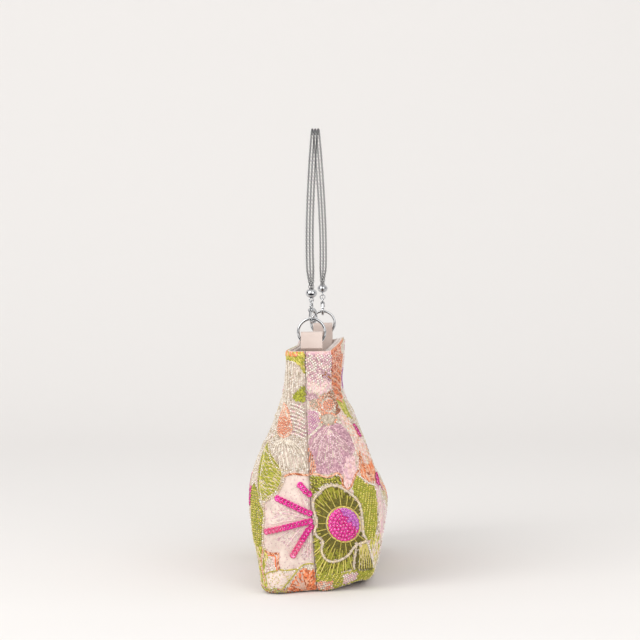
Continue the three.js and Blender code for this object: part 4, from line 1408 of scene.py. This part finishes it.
def near_front_flower():
    """The big green flower with its sequin heart, right of the near seam."""
    side = FRONT
    heart, radii = (20.3, 44.6), (9.6, 10.6)

    def heart_tone(angle, share):
        return "sequin_violet" if math.cos(angle - 0.7) * share > 0.42 else "sequin_magenta"

    sequin_disc(side, heart, radii, heart_tone)
    ring(side, heart, (radii[0] + HEART_EDGE, radii[1] + HEART_EDGE), HEART_CORD, 0.95, cord)
    scallop = rounded([
        (1.6, 59), (4.5, 64), (10, 68.6), (15.5, 70), (21, 68), (26, 64.2), (30, 60), (32, 54),
        (32.6, 46), (32.6, 38), (34.4, 33.6), (28, 31.2), (24.5, 28), (22.5, 24.8), (18, 21.5),
        (13, 20), (8.5, 20.8), (5.6, 24.5), (5, 29), (6.3, 33.6), (2.6, 37.4), (1.6, 41), (3.4, 46),
        (2.2, 52),
    ])
    bead_line(side, scallop + scallop[:1], seed("cream sand") + yarn("greige"), 2.0, 1.1)
    fill_rays(side, heart, scallop, OLIVE_TONES, PETAL_STITCH, 8.4, ("thread_gold", 8), 1.05,
              yarn("olive lime_dark lime_dark"))

    # Cords and bead rows that divide what lies round the flower
    over_flower = open_line([
        (0.8, 77.4), (5.5, 77), (11, 75.4), (15, 76.4), (18.5, 77.8), (21, 74.5), (21.3, 69.8),
        (23.6, 67.2), (26.6, 69.5), (28.2, 73.2), (30, 76.6), (32.6, 80), (33.8, 85), (34.5, 91),
    ])
    cord(side, over_flower, COPPER_CORD, 1.2)
    divider = open_line([(27.4, 30.4), (26.6, 26), (25.6, 22), (24.7, 16.5), (24.6, 11.5)])
    bead_line(side, divider, seed("cream sand") + yarn("greige"), 1.8, 1.1)
    edge = open_line([(35, 32.8), (37, 27), (38.6, 20), (40.6, 14), (42, 9.5)])
    bead_line(side, edge, seed("pearl ivory"), 1.5)

    # Striped petal, outer petals, and the flecked ground over the flower
    striped = rounded([
        (28.4, 31), (34.4, 31.6), (37, 23), (40, 15), (41.4, 9), (33, 8.4), (25.8, 10.6), (26.6, 21),
    ])
    for i in range(7):
        foot, top = 27.4 + i * 2.2, 30 + i * 0.9
        line = [(top, 31), ((top + foot) / 2 + 0.4, 20), (foot, 8)]
        cord_within(side, line, striped, yarn("yellow"), 0.75)
    threads(side, striped, 1.75, yarn("olive olive olive_dark"))
    outer = [(0.3, 39), (0.3, 11.4), (25, 11), (25.6, 22), (27, 29), (20, 26), (5, 30), (4, 37)]
    fill_rays(side, heart, outer, BRIGHT_OLIVE, PETAL_STITCH, 12, ("thread_yellow", 5.5), 1.05)
    over = [
        (0.3, 76.8), (6, 76), (11, 74.4), (18, 76.6), (20.4, 74), (20.6, 69), (15, 71.4), (9, 70),
        (4, 66), (0.3, 60),
    ]
    flecks = ([(1.5, 74), (8, 73), (18, 75)], [(1.4, 70.6), (7, 71.6), (19, 72.6)], [(1.4, 66), (3, 68.4)])
    for line in flecks:
        for s, z, _ in walk(open_line(line), 1.9):
            stamp(BEAD, side, s, z, "bead_yellow", 0, (1.2, 0.9, 0.8), 0.4)
    threads(side, over, -0.7, BRIGHT_OLIVE + yarn("olive"))


def near_front_shoulder():
    """The lilac fan, the flower with two hearts over it and the threads that sweep past them."""
    side = FRONT
    bead_disc(side, (14.4, 122), (3.2, 3.2), CORAL_BEADS, 1.3)
    for turn in range(10):
        angle = math.radians(10 + turn * 25)
        place = (14 + 6.1 * math.cos(angle), 122.4 + 6 * math.sin(angle))
        rim = seed("copper sand") if turn < 5 else seed("coral sand")
        bead_rosette(side, place, 1.35, rim, "bead_peach", 1.0)
    brown = rounded([(19, 131), (24, 124), (24, 117), (18, 115.6), (19, 122), (12, 129)])
    beads(side, brown, 0.4, seed("copper sand"), 1.2)
    ring(side, (13.7, 113), (5.2, 3.8), CORAL_BEADS + seed("sand"), 1.5)
    threads(side, oval((13.7, 113), (5.2, 3.8)), 0, yarn("greige"))
    bead_disc(side, (5, 122.6), (2.7, 2.7), seed("peach sand"), 1.2)
    mauve = rounded([(0.4, 131), (7, 128.6), (8.4, 125.6), (0.4, 125.6)])
    beads(side, mauve, 0.5, seed("mauve lilac"))
    violet = rounded([(0.4, 118), (6.5, 117), (8.2, 112), (5, 105.4), (0.4, 103.5)])
    beads(side, violet, 0.75, seed("lilac violet"))

    apex = (13.2, 108.4)
    petals = (
        ((2.4, 93), 2.3), ((6.6, 82.4), 2.6), ((13.2, 80.4), 2.6), ((20.4, 83.6), 2.6),
        ((27.6, 90.6), 2.3),
    )
    for tip, bulge in petals:
        heading = math.atan2(tip[1] - apex[1], tip[0] - apex[0])
        length = math.hypot(tip[0] - apex[0], tip[1] - apex[1])
        nose, flank = (math.cos(heading), math.sin(heading)), (-math.sin(heading), math.cos(heading))
        petal = rounded([
            (apex[0] + nose[0] * length * t + flank[0] * bulge * w,
             apex[1] + nose[1] * length * t + flank[1] * bulge * w)
            for t, w in FAN_PETAL
        ])
        beads(side, petal, heading, seed("lilac lilac mauve"), 1.35)
    fan = rounded([
        (13, 110), (4, 103), (0.6, 97), (4.6, 84), (5, 78.6), (11, 77), (18, 79), (21.6, 76.8),
        (24, 86), (30.4, 92), (29, 100), (22, 109),
    ])
    fill_rays(side, apex, fan, yarn("mauve lilac mauve") + seed("mauve"), (1.6, 0.85, 0.7), 1.5)
    beads(side, [(0.3, 97), (4.6, 95), (5, 79), (0.3, 78)], 1.4, seed("coral copper peach"))
    drop = rounded([(24, 88), (29.6, 90), (30.6, 82), (28, 73.8), (23.6, 68.4), (22, 74), (22.4, 80)])
    threads(side, drop, 1.62, yarn("pink lilac pink"), 4, 0.9)

    # Magenta spots at the side, and the threads that sweep down over the shoulder
    for spot in ((50, 72), (39, 103.6)):
        sequin_disc(side, spot, (3.2, 4.8), lambda angle, share: "sequin_magenta")
    sweep = rounded([
        (20.6, 127), (26, 123), (34, 112), (42, 98), (46, 86), (35.6, 84), (31, 92), (29, 101),
        (22.6, 110), (21, 117),
    ])
    for i in range(6):
        line = [(22 + i * 2.3, 122 - i), (28 + i * 2.6, 104), (34 + i * 2.2, 85)]
        cord_within(side, line, sweep, yarn("ivory peach"), 0.9)
    threads(side, sweep, -1.02, yarn("pink ivory pink"), 4, 0.8)
    under = rounded([(34.4, 86), (46, 86), (49, 73), (38, 70.4), (33.4, 76.8)])
    cord(side, open_line([(35, 88), (38, 79), (44, 72)]), COPPER_CORD, 1.1)
    threads(side, under, -1.15, yarn("peach coral peach"), 4, 0.8)
    lilac = rounded([(46.6, 70), (56, 74), (72, 66), (74, 44), (60, 32), (49, 36), (48, 52)])
    threads(side, lilac, 1.3, yarn("pink lilac ivory"), 4, 0.9)


def near_front_rim():
    """Bead clusters by the seam, then the orange petal that leans in from the middle of the rim."""
    side = FRONT
    beads(side, rounded([(9.6, 146), (16.4, 141), (16.8, 137.4), (12, 139)]), -0.6, seed("mauve copper"))
    clusters = rounded([
        (0.8, 155.4), (17, 155.2), (17.6, 147), (15, 139.6), (9, 135.6), (3, 138.4), (0.6, 144),
    ])
    beads(side, clusters, 0.6, seed("lilac pearl lilac pearl") + yarn("pink") + seed("mauve"), 1.5)
    threads(side, [(0.3, 141), (18, 144), (18, 131), (8, 129), (0.3, 131)], 1.5, yarn("lilac ivory pink"))
    cluster = rounded([(17.6, 156), (70, 157), (62, 145), (40, 142), (17.6, 141)])
    beads(side, cluster, -0.5, seed("coral rust copper coral peach"), 1.6)
    petal = rounded([
        (17.4, 144), (50, 146), (78, 150), (96, 147), (103, 139), (92, 129), (60, 120), (30, 123),
        (19, 132),
    ])
    for i in range(16):
        high = 158 - i * 2.6
        line = [(14, high), (40, high - 5), (70, high - 11), (106, high - 19)]
        tone = "thread_peach" if i % 2 else "thread_coral"
        cord(side, free_part(side, open_line(line, fine=8), petal), [tone], 1.1)
    threads(side, petal, -0.2, yarn("coral copper"), 4, 0.9, 0.2)
    bead_line(side, free_part(side, petal + petal[:1]), seed("peach coral"), 1.5, mark=False)
    green = rounded([(24, 124), (50, 119.6), (78, 121), (96, 116), (84, 109), (60, 108), (36, 112)])
    threads(side, green, -0.8, yarn("yellow lime lime"), 3.4, 0.8)


def near_front_foot():
    """The lime column beside the big flower and the beaded hem under it."""
    side = FRONT
    lime = rounded([
        (27.4, 71.5), (31, 76.5), (37, 70), (45, 68), (46, 52), (43.5, 38), (36, 33.4), (33.6, 38),
        (33, 54), (28.6, 63),
    ])
    bead_line(side, open_line([(33, 75), (39, 70.6), (46, 68)]), seed("pearl"), 1.2)
    fill_rows(side, lime, 1.35, seed("lime yellow"), (1.4, 1.2, 1.1), 2.1, BEAD, 0.35)
    threads(side, lime, 1.2, LEAF_TONES, 2.2, 0.8)
    low = rounded([(37, 31), (43, 37), (50, 34), (50, 12), (43, 9.6), (40, 17)])
    threads(side, low, 1.5, yarn("lime yellow ivory pink"))
    beads(side, [(0.3, 7), (10.4, 7.2), (11, 0.8), (0.3, 0.8)], 0.2, CORAL_BEADS + seed("ivory"), 1.4)
    pearly = [(17, 9), (26.6, 8.4), (26, 2), (17, 2)]
    beads(side, pearly, 0.4, seed("pearl") + yarn("pink") + seed("lilac"), 1.4)
    foot = [(0.3, 11.6), (46, 9.6), (46, 0.8), (0.3, 0.8)]
    fill_rows(side, foot, 0.9, seed("yellow lime"), (1.3, 1.15, 1), 2.2, BEAD, 0.35)
    threads(side, foot, 0.7, yarn("lime lime_dark"))


def near_back_sequins():
    """Rays of sequins over bare satin, with corded edges, left of the near seam."""
    side = BACK
    rays = (
        ((5.8, 70.2), (1.2, 64.4), cups("magenta")),
        ((20.6, 61.6), (1.4, 52), cups("magenta")),
        ((29.4, 40), (1.4, 47), cups("pink pink magenta magenta magenta")),
        ((13.4, 25), (1.2, 43.4), cups("pink pink magenta magenta")),
    )
    for start, end, tones in rays:
        sequin_ray(side, start, end, tones)
    cords = (
        ([(0.8, 76.6), (5, 77), (10, 77.6), (14.6, 76.6), (16, 75.4)], COPPER_CORD, 1.3),
        ([(31.4, 26.4), (27, 25.4), (22.8, 25.4), (23.4, 20), (22.6, 15.8)], COPPER_CORD, 1.3),
        ([(30, 24.2), (25, 23.8), (25, 19), (24, 15)], yarn("coral"), 0.9),
        ([(22.6, 15.6), (18, 15), (14, 15.4), (11.4, 15), (14.6, 11), (18, 7), (21, 3.6)], GOLD_CORD, 0.95),
        ([(11.4, 15), (7.5, 18), (4, 18.8), (0.8, 18.6)], GOLD_CORD, 0.95),
        ([(24, 15), (30, 13.6), (36, 10)], GOLD_CORD, 0.9),
    )
    for line, tones, width in cords:
        cord(side, open_line(line), tones, width)
    right = [
        (16, 75.4), (17, 72), (20, 66.5), (23, 62.8), (31, 58.4), (31.4, 49.2), (33, 39.5), (33.4, 31),
        (31, 26.6),
    ]
    bead_line(side, open_line(right), PETAL_EDGE, 1.5)

    # Lilac and silver threads fanned out between the rays
    fans = (
        ((1, 50), (6, 70), (0.8, 68), 260), ((1, 50), (17, 58), (29, 46), 420),
        ((1, 46), (24, 36), (15, 28), 420), ((1, 44), (9, 22), (1, 20), 420),
    )
    for apex, first, second, count in fans:
        heading = math.atan2((first[1] + second[1]) / 2 - apex[1], (first[0] + second[0]) / 2 - apex[0])
        dust(side, [apex, first, second], yarn("lilac mauve ivory") + seed("pearl"), count, heading, 0.25)
    tips = (
        (8, 67), (12, 56), (20, 55), (27, 53), (27, 44.6), (22, 36), (17, 31), (8, 25), (4.6, 22),
        (2.4, 21),
    )
    for tip in tips:
        line = open_line([(1.2, 48), ((1.2 + tip[0]) / 2, (48 + tip[1]) / 2 + 1), tip])
        cord(side, free_part(side, line), yarn("lilac ivory pink"), 0.8, mark=False)
    patch = [
        (0.3, 76), (15.4, 76), (16.6, 71), (20, 65.6), (23, 62), (31, 57.6), (31, 49), (32.6, 39.5),
        (33, 31), (30, 26.4), (23, 25.4), (22.6, 16), (14, 16), (0.3, 19),
    ]
    dust(side, patch, yarn("ivory lilac pink mauve"), 520, 1.4, 1.5, (0.9, 0.4, 0.3))
    claim(side, patch)


def near_back_leaf():
    """The veined leaf and the lime column under it."""
    side = BACK
    edge = rounded([
        (17.6, 79.6), (18.2, 73.4), (21, 67.4), (26, 63), (33, 59.8), (37, 66), (38.4, 78), (38.4, 88),
        (41, 97.6), (34, 98), (27, 92), (21.4, 85.6),
    ])
    rib = open_line([(33.4, 60.6), (35, 68), (34.6, 78), (33.4, 88), (37, 97)])
    cord(side, rib, yarn("ivory yellow"), 0.8)
    for i in range(15):
        z = 61 + i * 2.4
        start = 34.2 if z < 80 else 34
        line = [(start, z), (start - 6, z + 2.4), (start - 11, z + 1.2), (start - 16, z - 3.4)]
        cord_within(side, line, edge, yarn("yellow"), 0.42)
    threads(side, edge, 0.5, yarn("lime lime_dark"), 3.2, 0.7)
    bead_line(side, edge + edge[:1], seed("cream"), 1.0, mark=False)

    # The lime column under the leaf
    column = rounded([
        (34.4, 58), (40, 69), (48, 66), (49, 52), (47, 30.6), (35.4, 30.6), (34, 40), (32.4, 50),
    ])
    for i in range(6):
        line = [(35.5 + i * 2.2, 31), (34.4 + i * 2.4, 48), (37 + i * 2.3, 66)]
        bead_line(side, free_part(side, open_line(line), column), seed("yellow lime"), 1.3, 1.5)
    threads(side, column, 1.45, yarn("lime lime_dark"))
    sequin_disc(side, (50.6, 61), (3.4, 8), lambda angle, share: "sequin_magenta")


def near_back_shoulder():
    """The beige petal in ribs of beads, the coral flower over it and the ropes by the seam."""
    side = BACK
    bead_rosette(side, (15.6, 107.6), 1.7, CORAL_BEADS, "bead_coral", 1.2)
    for turn in range(6):
        angle = math.radians(60 * turn + 20)
        place = (15.6 + 3.6 * math.cos(angle), 107.6 + 3.7 * math.sin(angle))
        bead_rosette(side, place, 1.3, seed("coral"), "bead_peach", 1.1)
    ring(side, (15.6, 107.6), (5.9, 6.4), seed("coral peach peach"), 1.35)
    threads(side, oval((15.6, 107.6), (5.9, 6.4)), 0.4, yarn("ivory ivory peach"))
    horseshoe = open_line([
        (10.4, 110), (11, 116), (13.4, 121), (17, 122.4), (20.4, 120), (21.6, 114), (20.8, 109),
    ])
    bead_line(side, free_part(side, horseshoe), CORAL_BEADS, 1.5)
    bead_line(side, [(14, 115), (15.6, 118.4), (17.4, 115)], seed("peach"), 1.2)
    arched = rounded([(11, 112), (13.6, 120), (17.4, 121), (20.4, 116), (20, 110)])
    threads(side, arched, 1.2, yarn("ivory peach"))
    petal = rounded([
        (19.6, 102.6), (27.4, 97.4), (26, 88), (20, 81), (11, 79.4), (1, 79.6), (0.4, 92), (1, 99.6),
        (9, 103.6), (15, 101),
    ])
    for i in range(11):
        foot = -2 + i * 2.9
        line = [(15.6, 103), (15.6 + (foot - 14) * 0.72, 93), (foot, 78.6)]
        cord_within(side, line, petal, yarn("ivory greige"), 1.25)
    beads(side, petal, 1.4, IVORY_BEADS, 1.2)
    bead_line(side, petal[:16], PETAL_EDGE, 1.3, mark=False)
    for i in range(10):
        z = 121.4 - i * 2.4
        rope = [(9.8, z + 1.6), (6, z + 0.6), (1, z - 2.2)]
        bead_line(side, free_part(side, open_line(rope)), seed("pearl ivory") + yarn("pink"), 1.5, 1.1)
    # Greige and mauve threads fill the gaps between the ropes; their tones, darker than the rope beads, are
    # painted shade between the raised ropes
    between = [(0.3, 96), (10.4, 100), (10.4, 124), (0.3, 124)]
    threads(side, between, -0.4, yarn("greige greige mauve"), 1.8)


def near_back_rim():
    """The fringe along the rim and the ribbed neck below it."""
    side = BACK
    tuft = rounded([(8.6, 128.4), (5, 131.6), (0.8, 134), (0.6, 123), (6, 123.4)])
    threads(side, tuft, 0.9, yarn("lime lime_dark lime"), 2.4, 0.7, 0.4)
    fringe = rounded([(0.5, 155.8), (20, 155.8), (20, 150), (11, 151), (4, 148), (0.6, 142)])
    for i in range(34):
        s = 0.9 + i * 0.58
        tone = dice.choice(yarn("coral peach yellow gold"))
        z = 155.2 - dice.random()
        angle = 1.1 + dice.uniform(-0.5, 0.5)
        stamp(STITCH, side, s, z, tone, angle, (2.8, 0.7, 0.7), 0.55)
    threads(side, fringe, 0.9, yarn("yellow gold lime"), 2.8, 0.7, 0.25)
    neck = [(0.3, 153), (20, 152), (21, 140), (20, 128), (25, 116), (19, 112), (9.6, 122), (0.3, 124)]
    for i in range(7):
        line = [(2.4 + i * 2.9, 152), (2.6 + i * 2.8, 138), (2 + i * 3.6, 118)]
        cord_within(side, line, neck, yarn("ivory greige ivory"), 1.0)
    beads(side, neck, 1.5, IVORY_BEADS + yarn("greige"), 1.1)


def near_back_foot():
    """The coral foot, the hem and the lime corner."""
    side = BACK
    foot = rounded([(0.4, 14), (3, 14.4), (7.4, 15.6), (11, 13), (14, 9), (17.6, 4.2), (17, 1.4), (0.4, 1)])
    for angle in (0.5, 0.8, 1.1, 1.4):
        line = [(7, 1), (7 + 16 * math.cos(angle), 1 + 16 * math.sin(angle))]
        bead_line(side, free_part(side, open_line(line, fine=12), foot), seed("peach"), 0.9)
    fill_rays(side, (7, 1), foot, yarn("coral copper peach coral"), (1.8, 0.9, 0.7), 0.4)
    hem = [(8, 3.8), (44, 4.4), (44, 0.8), (6, 0.8)]
    beads(side, hem, 0.2, seed("gold copper lime sand"), 1.3)
    between = [(20, 4), (30, 4.4), (33, 12), (25, 14.4), (14, 14), (18, 8)]
    dust(side, between, yarn("ivory gold pink"), 160, 0.4, 1.0)
    claim(side, between)
    corner = rounded([(30, 25), (34, 30), (48, 29), (46, 10), (40, 4), (31, 4.2), (33.4, 13)])
    bead_line(side, open_line([(34, 28), (37, 18), (34, 8)]), CORAL_BEADS, 1.1, 1.3)
    threads(side, corner, 1.3, yarn("lime yellow lime_dark pink"))


# Ornament of the same kinds for the long sides and the far end
STYLES = {
    "olive": (OLIVE_TONES, "thread_gold", "sequin_magenta", PETAL_EDGE),
    "lime": (LEAF_TONES, "thread_yellow", "sequin_pink", PETAL_EDGE),
    "lilac": (yarn("lilac lilac mauve"), "thread_ivory", "sequin_violet", seed("lilac pearl")),
    "coral": (yarn("coral peach coral"), "thread_ivory", "sequin_magenta", seed("peach coral")),
    "ivory": (yarn("ivory pink ivory"), "thread_greige", "sequin_pink", seed("pearl cream")),
}
PETAL_SHAPE = (
    (0.36, 0.5), (0.6, 0.85), (0.84, 0.95), (1.0, 0.55), (1.04, 0), (1.0, -0.55), (0.84, -0.95),
    (0.6, -0.85), (0.36, -0.5),
)
LEAF_SHAPE = ((0, 0), (0.2, 0.75), (0.5, 1), (0.8, 0.6), (1, 0), (0.8, -0.6), (0.5, -1), (0.2, -0.75))
HEART_SHARE = 0.3
PETAL_WIDTH = 0.96
PETAL_START = 0.34
VEIN_SPACING = 2.6
LEAST_SHOWN = 0.5


def flower(side, place, radius, petals, turn, style):
    """A sequin heart in a gold cord, and petals of rays edged with beads."""
    tones, light, heart, edge = STYLES[style]
    heart_size = radius * HEART_SHARE
    sequin_disc(side, place, (heart_size, heart_size), lambda angle, share: heart)
    ring(side, place, (heart_size + HEART_EDGE, heart_size + HEART_EDGE), HEART_CORD, 0.95, cord)
    for k in range(petals):
        heading = turn + 2 * math.pi * k / petals
        half = math.pi / petals * PETAL_WIDTH
        petal = rounded([
            (place[0] + radius * share * math.cos(heading + half * wide),
             place[1] + radius * share * math.sin(heading + half * wide))
            for share, wide in PETAL_SHAPE
        ])
        bead_line(side, free_part(side, petal + petal[:1]), edge, 1.7, 1.5, mark=False)
        fill_rays(side, place, petal, tones, PETAL_STITCH, radius * PETAL_START, (light, 7))


def leaf(side, place, length, width, heading):
    """A lime leaf with a rib, veins and a beaded edge, where at least half of it lies on free ground."""
    tones, light, _, edge = STYLES["lime"]
    nose, flank = (math.cos(heading), math.sin(heading)), (-math.sin(heading), math.cos(heading))

    def at(along, across):
        s = place[0] + nose[0] * along + flank[0] * across
        return s, place[1] + nose[1] * along + flank[1] * across

    outline = rounded([at(length * t, width / 2 * w) for t, w in LEAF_SHAPE])
    shown = free_part(side, outline + outline[:1])
    if len(shown) < len(outline) * LEAST_SHOWN:
        return
    cord(side, free_part(side, [at(length * t, 0) for t in steps(0.03, 0.95, 12)]), [light], 0.9)
    for i in range(int(length / VEIN_SPACING)):
        for flank_side in (1, -1):
            reaches = steps(0.5, width * 0.5, 5)
            vein = [at(1.5 + i * VEIN_SPACING + reach, flank_side * reach * 0.9) for reach in reaches]
            cord(side, free_part(side, vein, outline), [light], 0.45)
    bead_line(side, shown, edge, 1.2, mark=False)
    threads(side, outline, heading + 0.8, tones, 3, 0.75)


FLOWERS = {
    FRONT: [
        ((84, 90), 22, 5, 0.9, "ivory"), ((126, 62), 25, 6, 0.2, "olive"),
        ((176, 128), 26, 6, 0.5, "lilac"), ((176, 40), 22, 5, 0.1, "coral"),
        ((218, 84), 24, 6, 0.7, "lime"), ((84, 32), 21, 5, 0.6, "lilac"),
        ((228, 138), 17, 5, 0.2, "olive"), ((226, 26), 18, 5, 1.1, "ivory"),
        ((264, 112), 16, 5, 0.5, "coral"), ((264, 56), 21, 6, 0.1, "olive"),
        ((131, 18), 13, 5, 0.2, "lime"),
    ],
    BACK: [
        ((80, 128), 22, 6, 0.1, "ivory"), ((80, 66), 25, 6, 0.5, "olive"),
        ((132, 98), 24, 5, 0.2, "coral"), ((138, 40), 23, 6, 0.9, "lilac"),
        ((184, 132), 23, 6, 0.4, "lime"), ((192, 76), 24, 6, 0.1, "coral"),
        ((190, 24), 17, 5, 0.6, "olive"), ((238, 112), 20, 5, 0.3, "lilac"),
        ((244, 52), 24, 6, 0.6, "olive"), ((278, 92), 15, 5, 0.2, "ivory"),
        ((88, 22), 16, 5, 0.4, "ivory"), ((130, 142), 14, 5, 0.1, "olive"),
    ],
}
LEAVES = {
    FRONT: [
        ((58, 112), 26, 13, -0.3), ((110, 112), 22, 10, -0.5), ((104, 36), 26, 12, -0.4),
        ((150, 88), 24, 12, 0.5), ((150, 40), 18, 10, 1.9), ((196, 100), 22, 11, 0.9),
        ((198, 56), 20, 11, -0.7), ((242, 30), 22, 12, 0.5), ((244, 132), 22, 10, -0.2),
        ((62, 12), 20, 9, 0.6), ((154, 12), 24, 9, 0.1), ((284, 92), 22, 11, 1.3),
        ((280, 30), 20, 11, 0.9), ((56, 86), 20, 10, -0.5), ((146, 108), 20, 9, 0.6),
    ],
    BACK: [
        ((106, 112), 22, 11, 0.9), ((104, 68), 24, 12, 0.4), ((108, 26), 20, 10, 0.3),
        ((158, 108), 24, 11, 0.2), ((160, 58), 26, 12, 0.5), ((154, 18), 22, 9, -0.1),
        ((208, 96), 24, 11, 0.6), ((214, 30), 24, 11, -0.3), ((214, 140), 24, 10, -0.5),
        ((262, 78), 22, 10, 0.9), ((262, 22), 22, 10, 0.2), ((58, 30), 22, 10, 0.9),
        ((266, 118), 20, 9, 0.7), ((276, 50), 20, 10, 0.9),
    ],
}
GROUND_TONES = (yarn("ivory greige ivory"), yarn("pink ivory"), yarn("lilac ivory"))
GROUND_BANDS = 12


def ground(side):
    """What the motifs leave free: rows of beads between rows of short stitches."""
    whole = whole_run(side, BELLY_HEIGHT)
    bands = steps(0, whole, GROUND_BANDS)
    for i, (low, high) in enumerate(zip(bands, bands[1:])):
        outline = [
            (low, LOWEST_STITCH), (high, LOWEST_STITCH), (high, HIGHEST_STITCH), (low, HIGHEST_STITCH),
        ]
        angle = 1.3 - 0.2 * (i % 3)
        fill_rows(side, outline, angle, IVORY_BEADS, (1.6, 1.35, 1.1), 2.7, BEAD, 0.35)
        fill_rows(side, outline, angle, GROUND_TONES[i % 3], (2.8, 0.75, 0.5), 0.95, STITCH, 0.1)


RIM_PITCH = 0.62
PINK_RIM_END = 17.5
CORAL_RIM_END = 120
YELLOW_RIM_END = 20
RIM_PATCH = 22


def rim_edge(side):
    """Overcast stitches along the rim, in the colours of what meets it."""
    whole = whole_run(side, BODY_HEIGHT)
    for s, _, _ in walk([(EDGE_CLEAR, 0), (whole - EDGE_CLEAR, 0)], RIM_PITCH):
        if side == FRONT and s < PINK_RIM_END:
            tones = yarn("pink lilac")
        elif side == FRONT and s < CORAL_RIM_END:
            tones = yarn("coral peach coral")
        elif side == BACK and s < YELLOW_RIM_END:
            tones = yarn("yellow gold peach coral")
        else:
            tones = (yarn("coral"), yarn("lime"), yarn("ivory"), yarn("lilac"))[int(s / RIM_PATCH) % 4]
        stamp(STITCH, side, s, BODY_HEIGHT - 1.5, dice.choice(tones), math.pi / 2, (3.2, 0.7, 0.7), 0.15)


def make_needlework():
    near_front_flower()
    near_front_foot()
    near_front_shoulder()
    near_front_rim()
    near_back_sequins()
    near_back_leaf()
    near_back_shoulder()
    near_back_rim()
    near_back_foot()
    for side in (FRONT, BACK):
        for place, radius, petals, turn, style in FLOWERS[side]:
            flower(side, place, radius, petals, turn, style)
        for place, length, width, heading in LEAVES[side]:
            leaf(side, place, length, width, heading)
        ground(side)
        rim_edge(side)
    for (side, tone), bm in sorted(work.items(), key=lambda item: (item[0][0], item[0][1])):
        piece(f"{WORD[side]}_{tone}", bm, tone, "bag")


make_camera()
light_world()
make_stage()
dark_flag("flag_behind_camera", place=(-2300, -200, 500), width=1500, height=1300)
dark_flag("flag_left", place=(-300, 1500, 600), width=500, height=1500)
dark_flag("flag_right", place=(-500, -1500, 500), width=400, height=1500)
dark_flag("flag_low", place=(-650, 0, 4), width=900, height=900, aim=(-650, 0, 1000))
area_light("key", (-1300, 1100, 1150), aim=(0, 0, 120), size=1700, watts=19.5, colour=(1, 0.985, 0.965))
area_light("fill", (-1500, -700, 700), aim=(0, 0, 100), size=1200, watts=8, colour=(1, 0.99, 0.98))
bpy.context.scene.view_settings.view_transform = "Standard"
make_body()
make_hardware()
make_needlework()
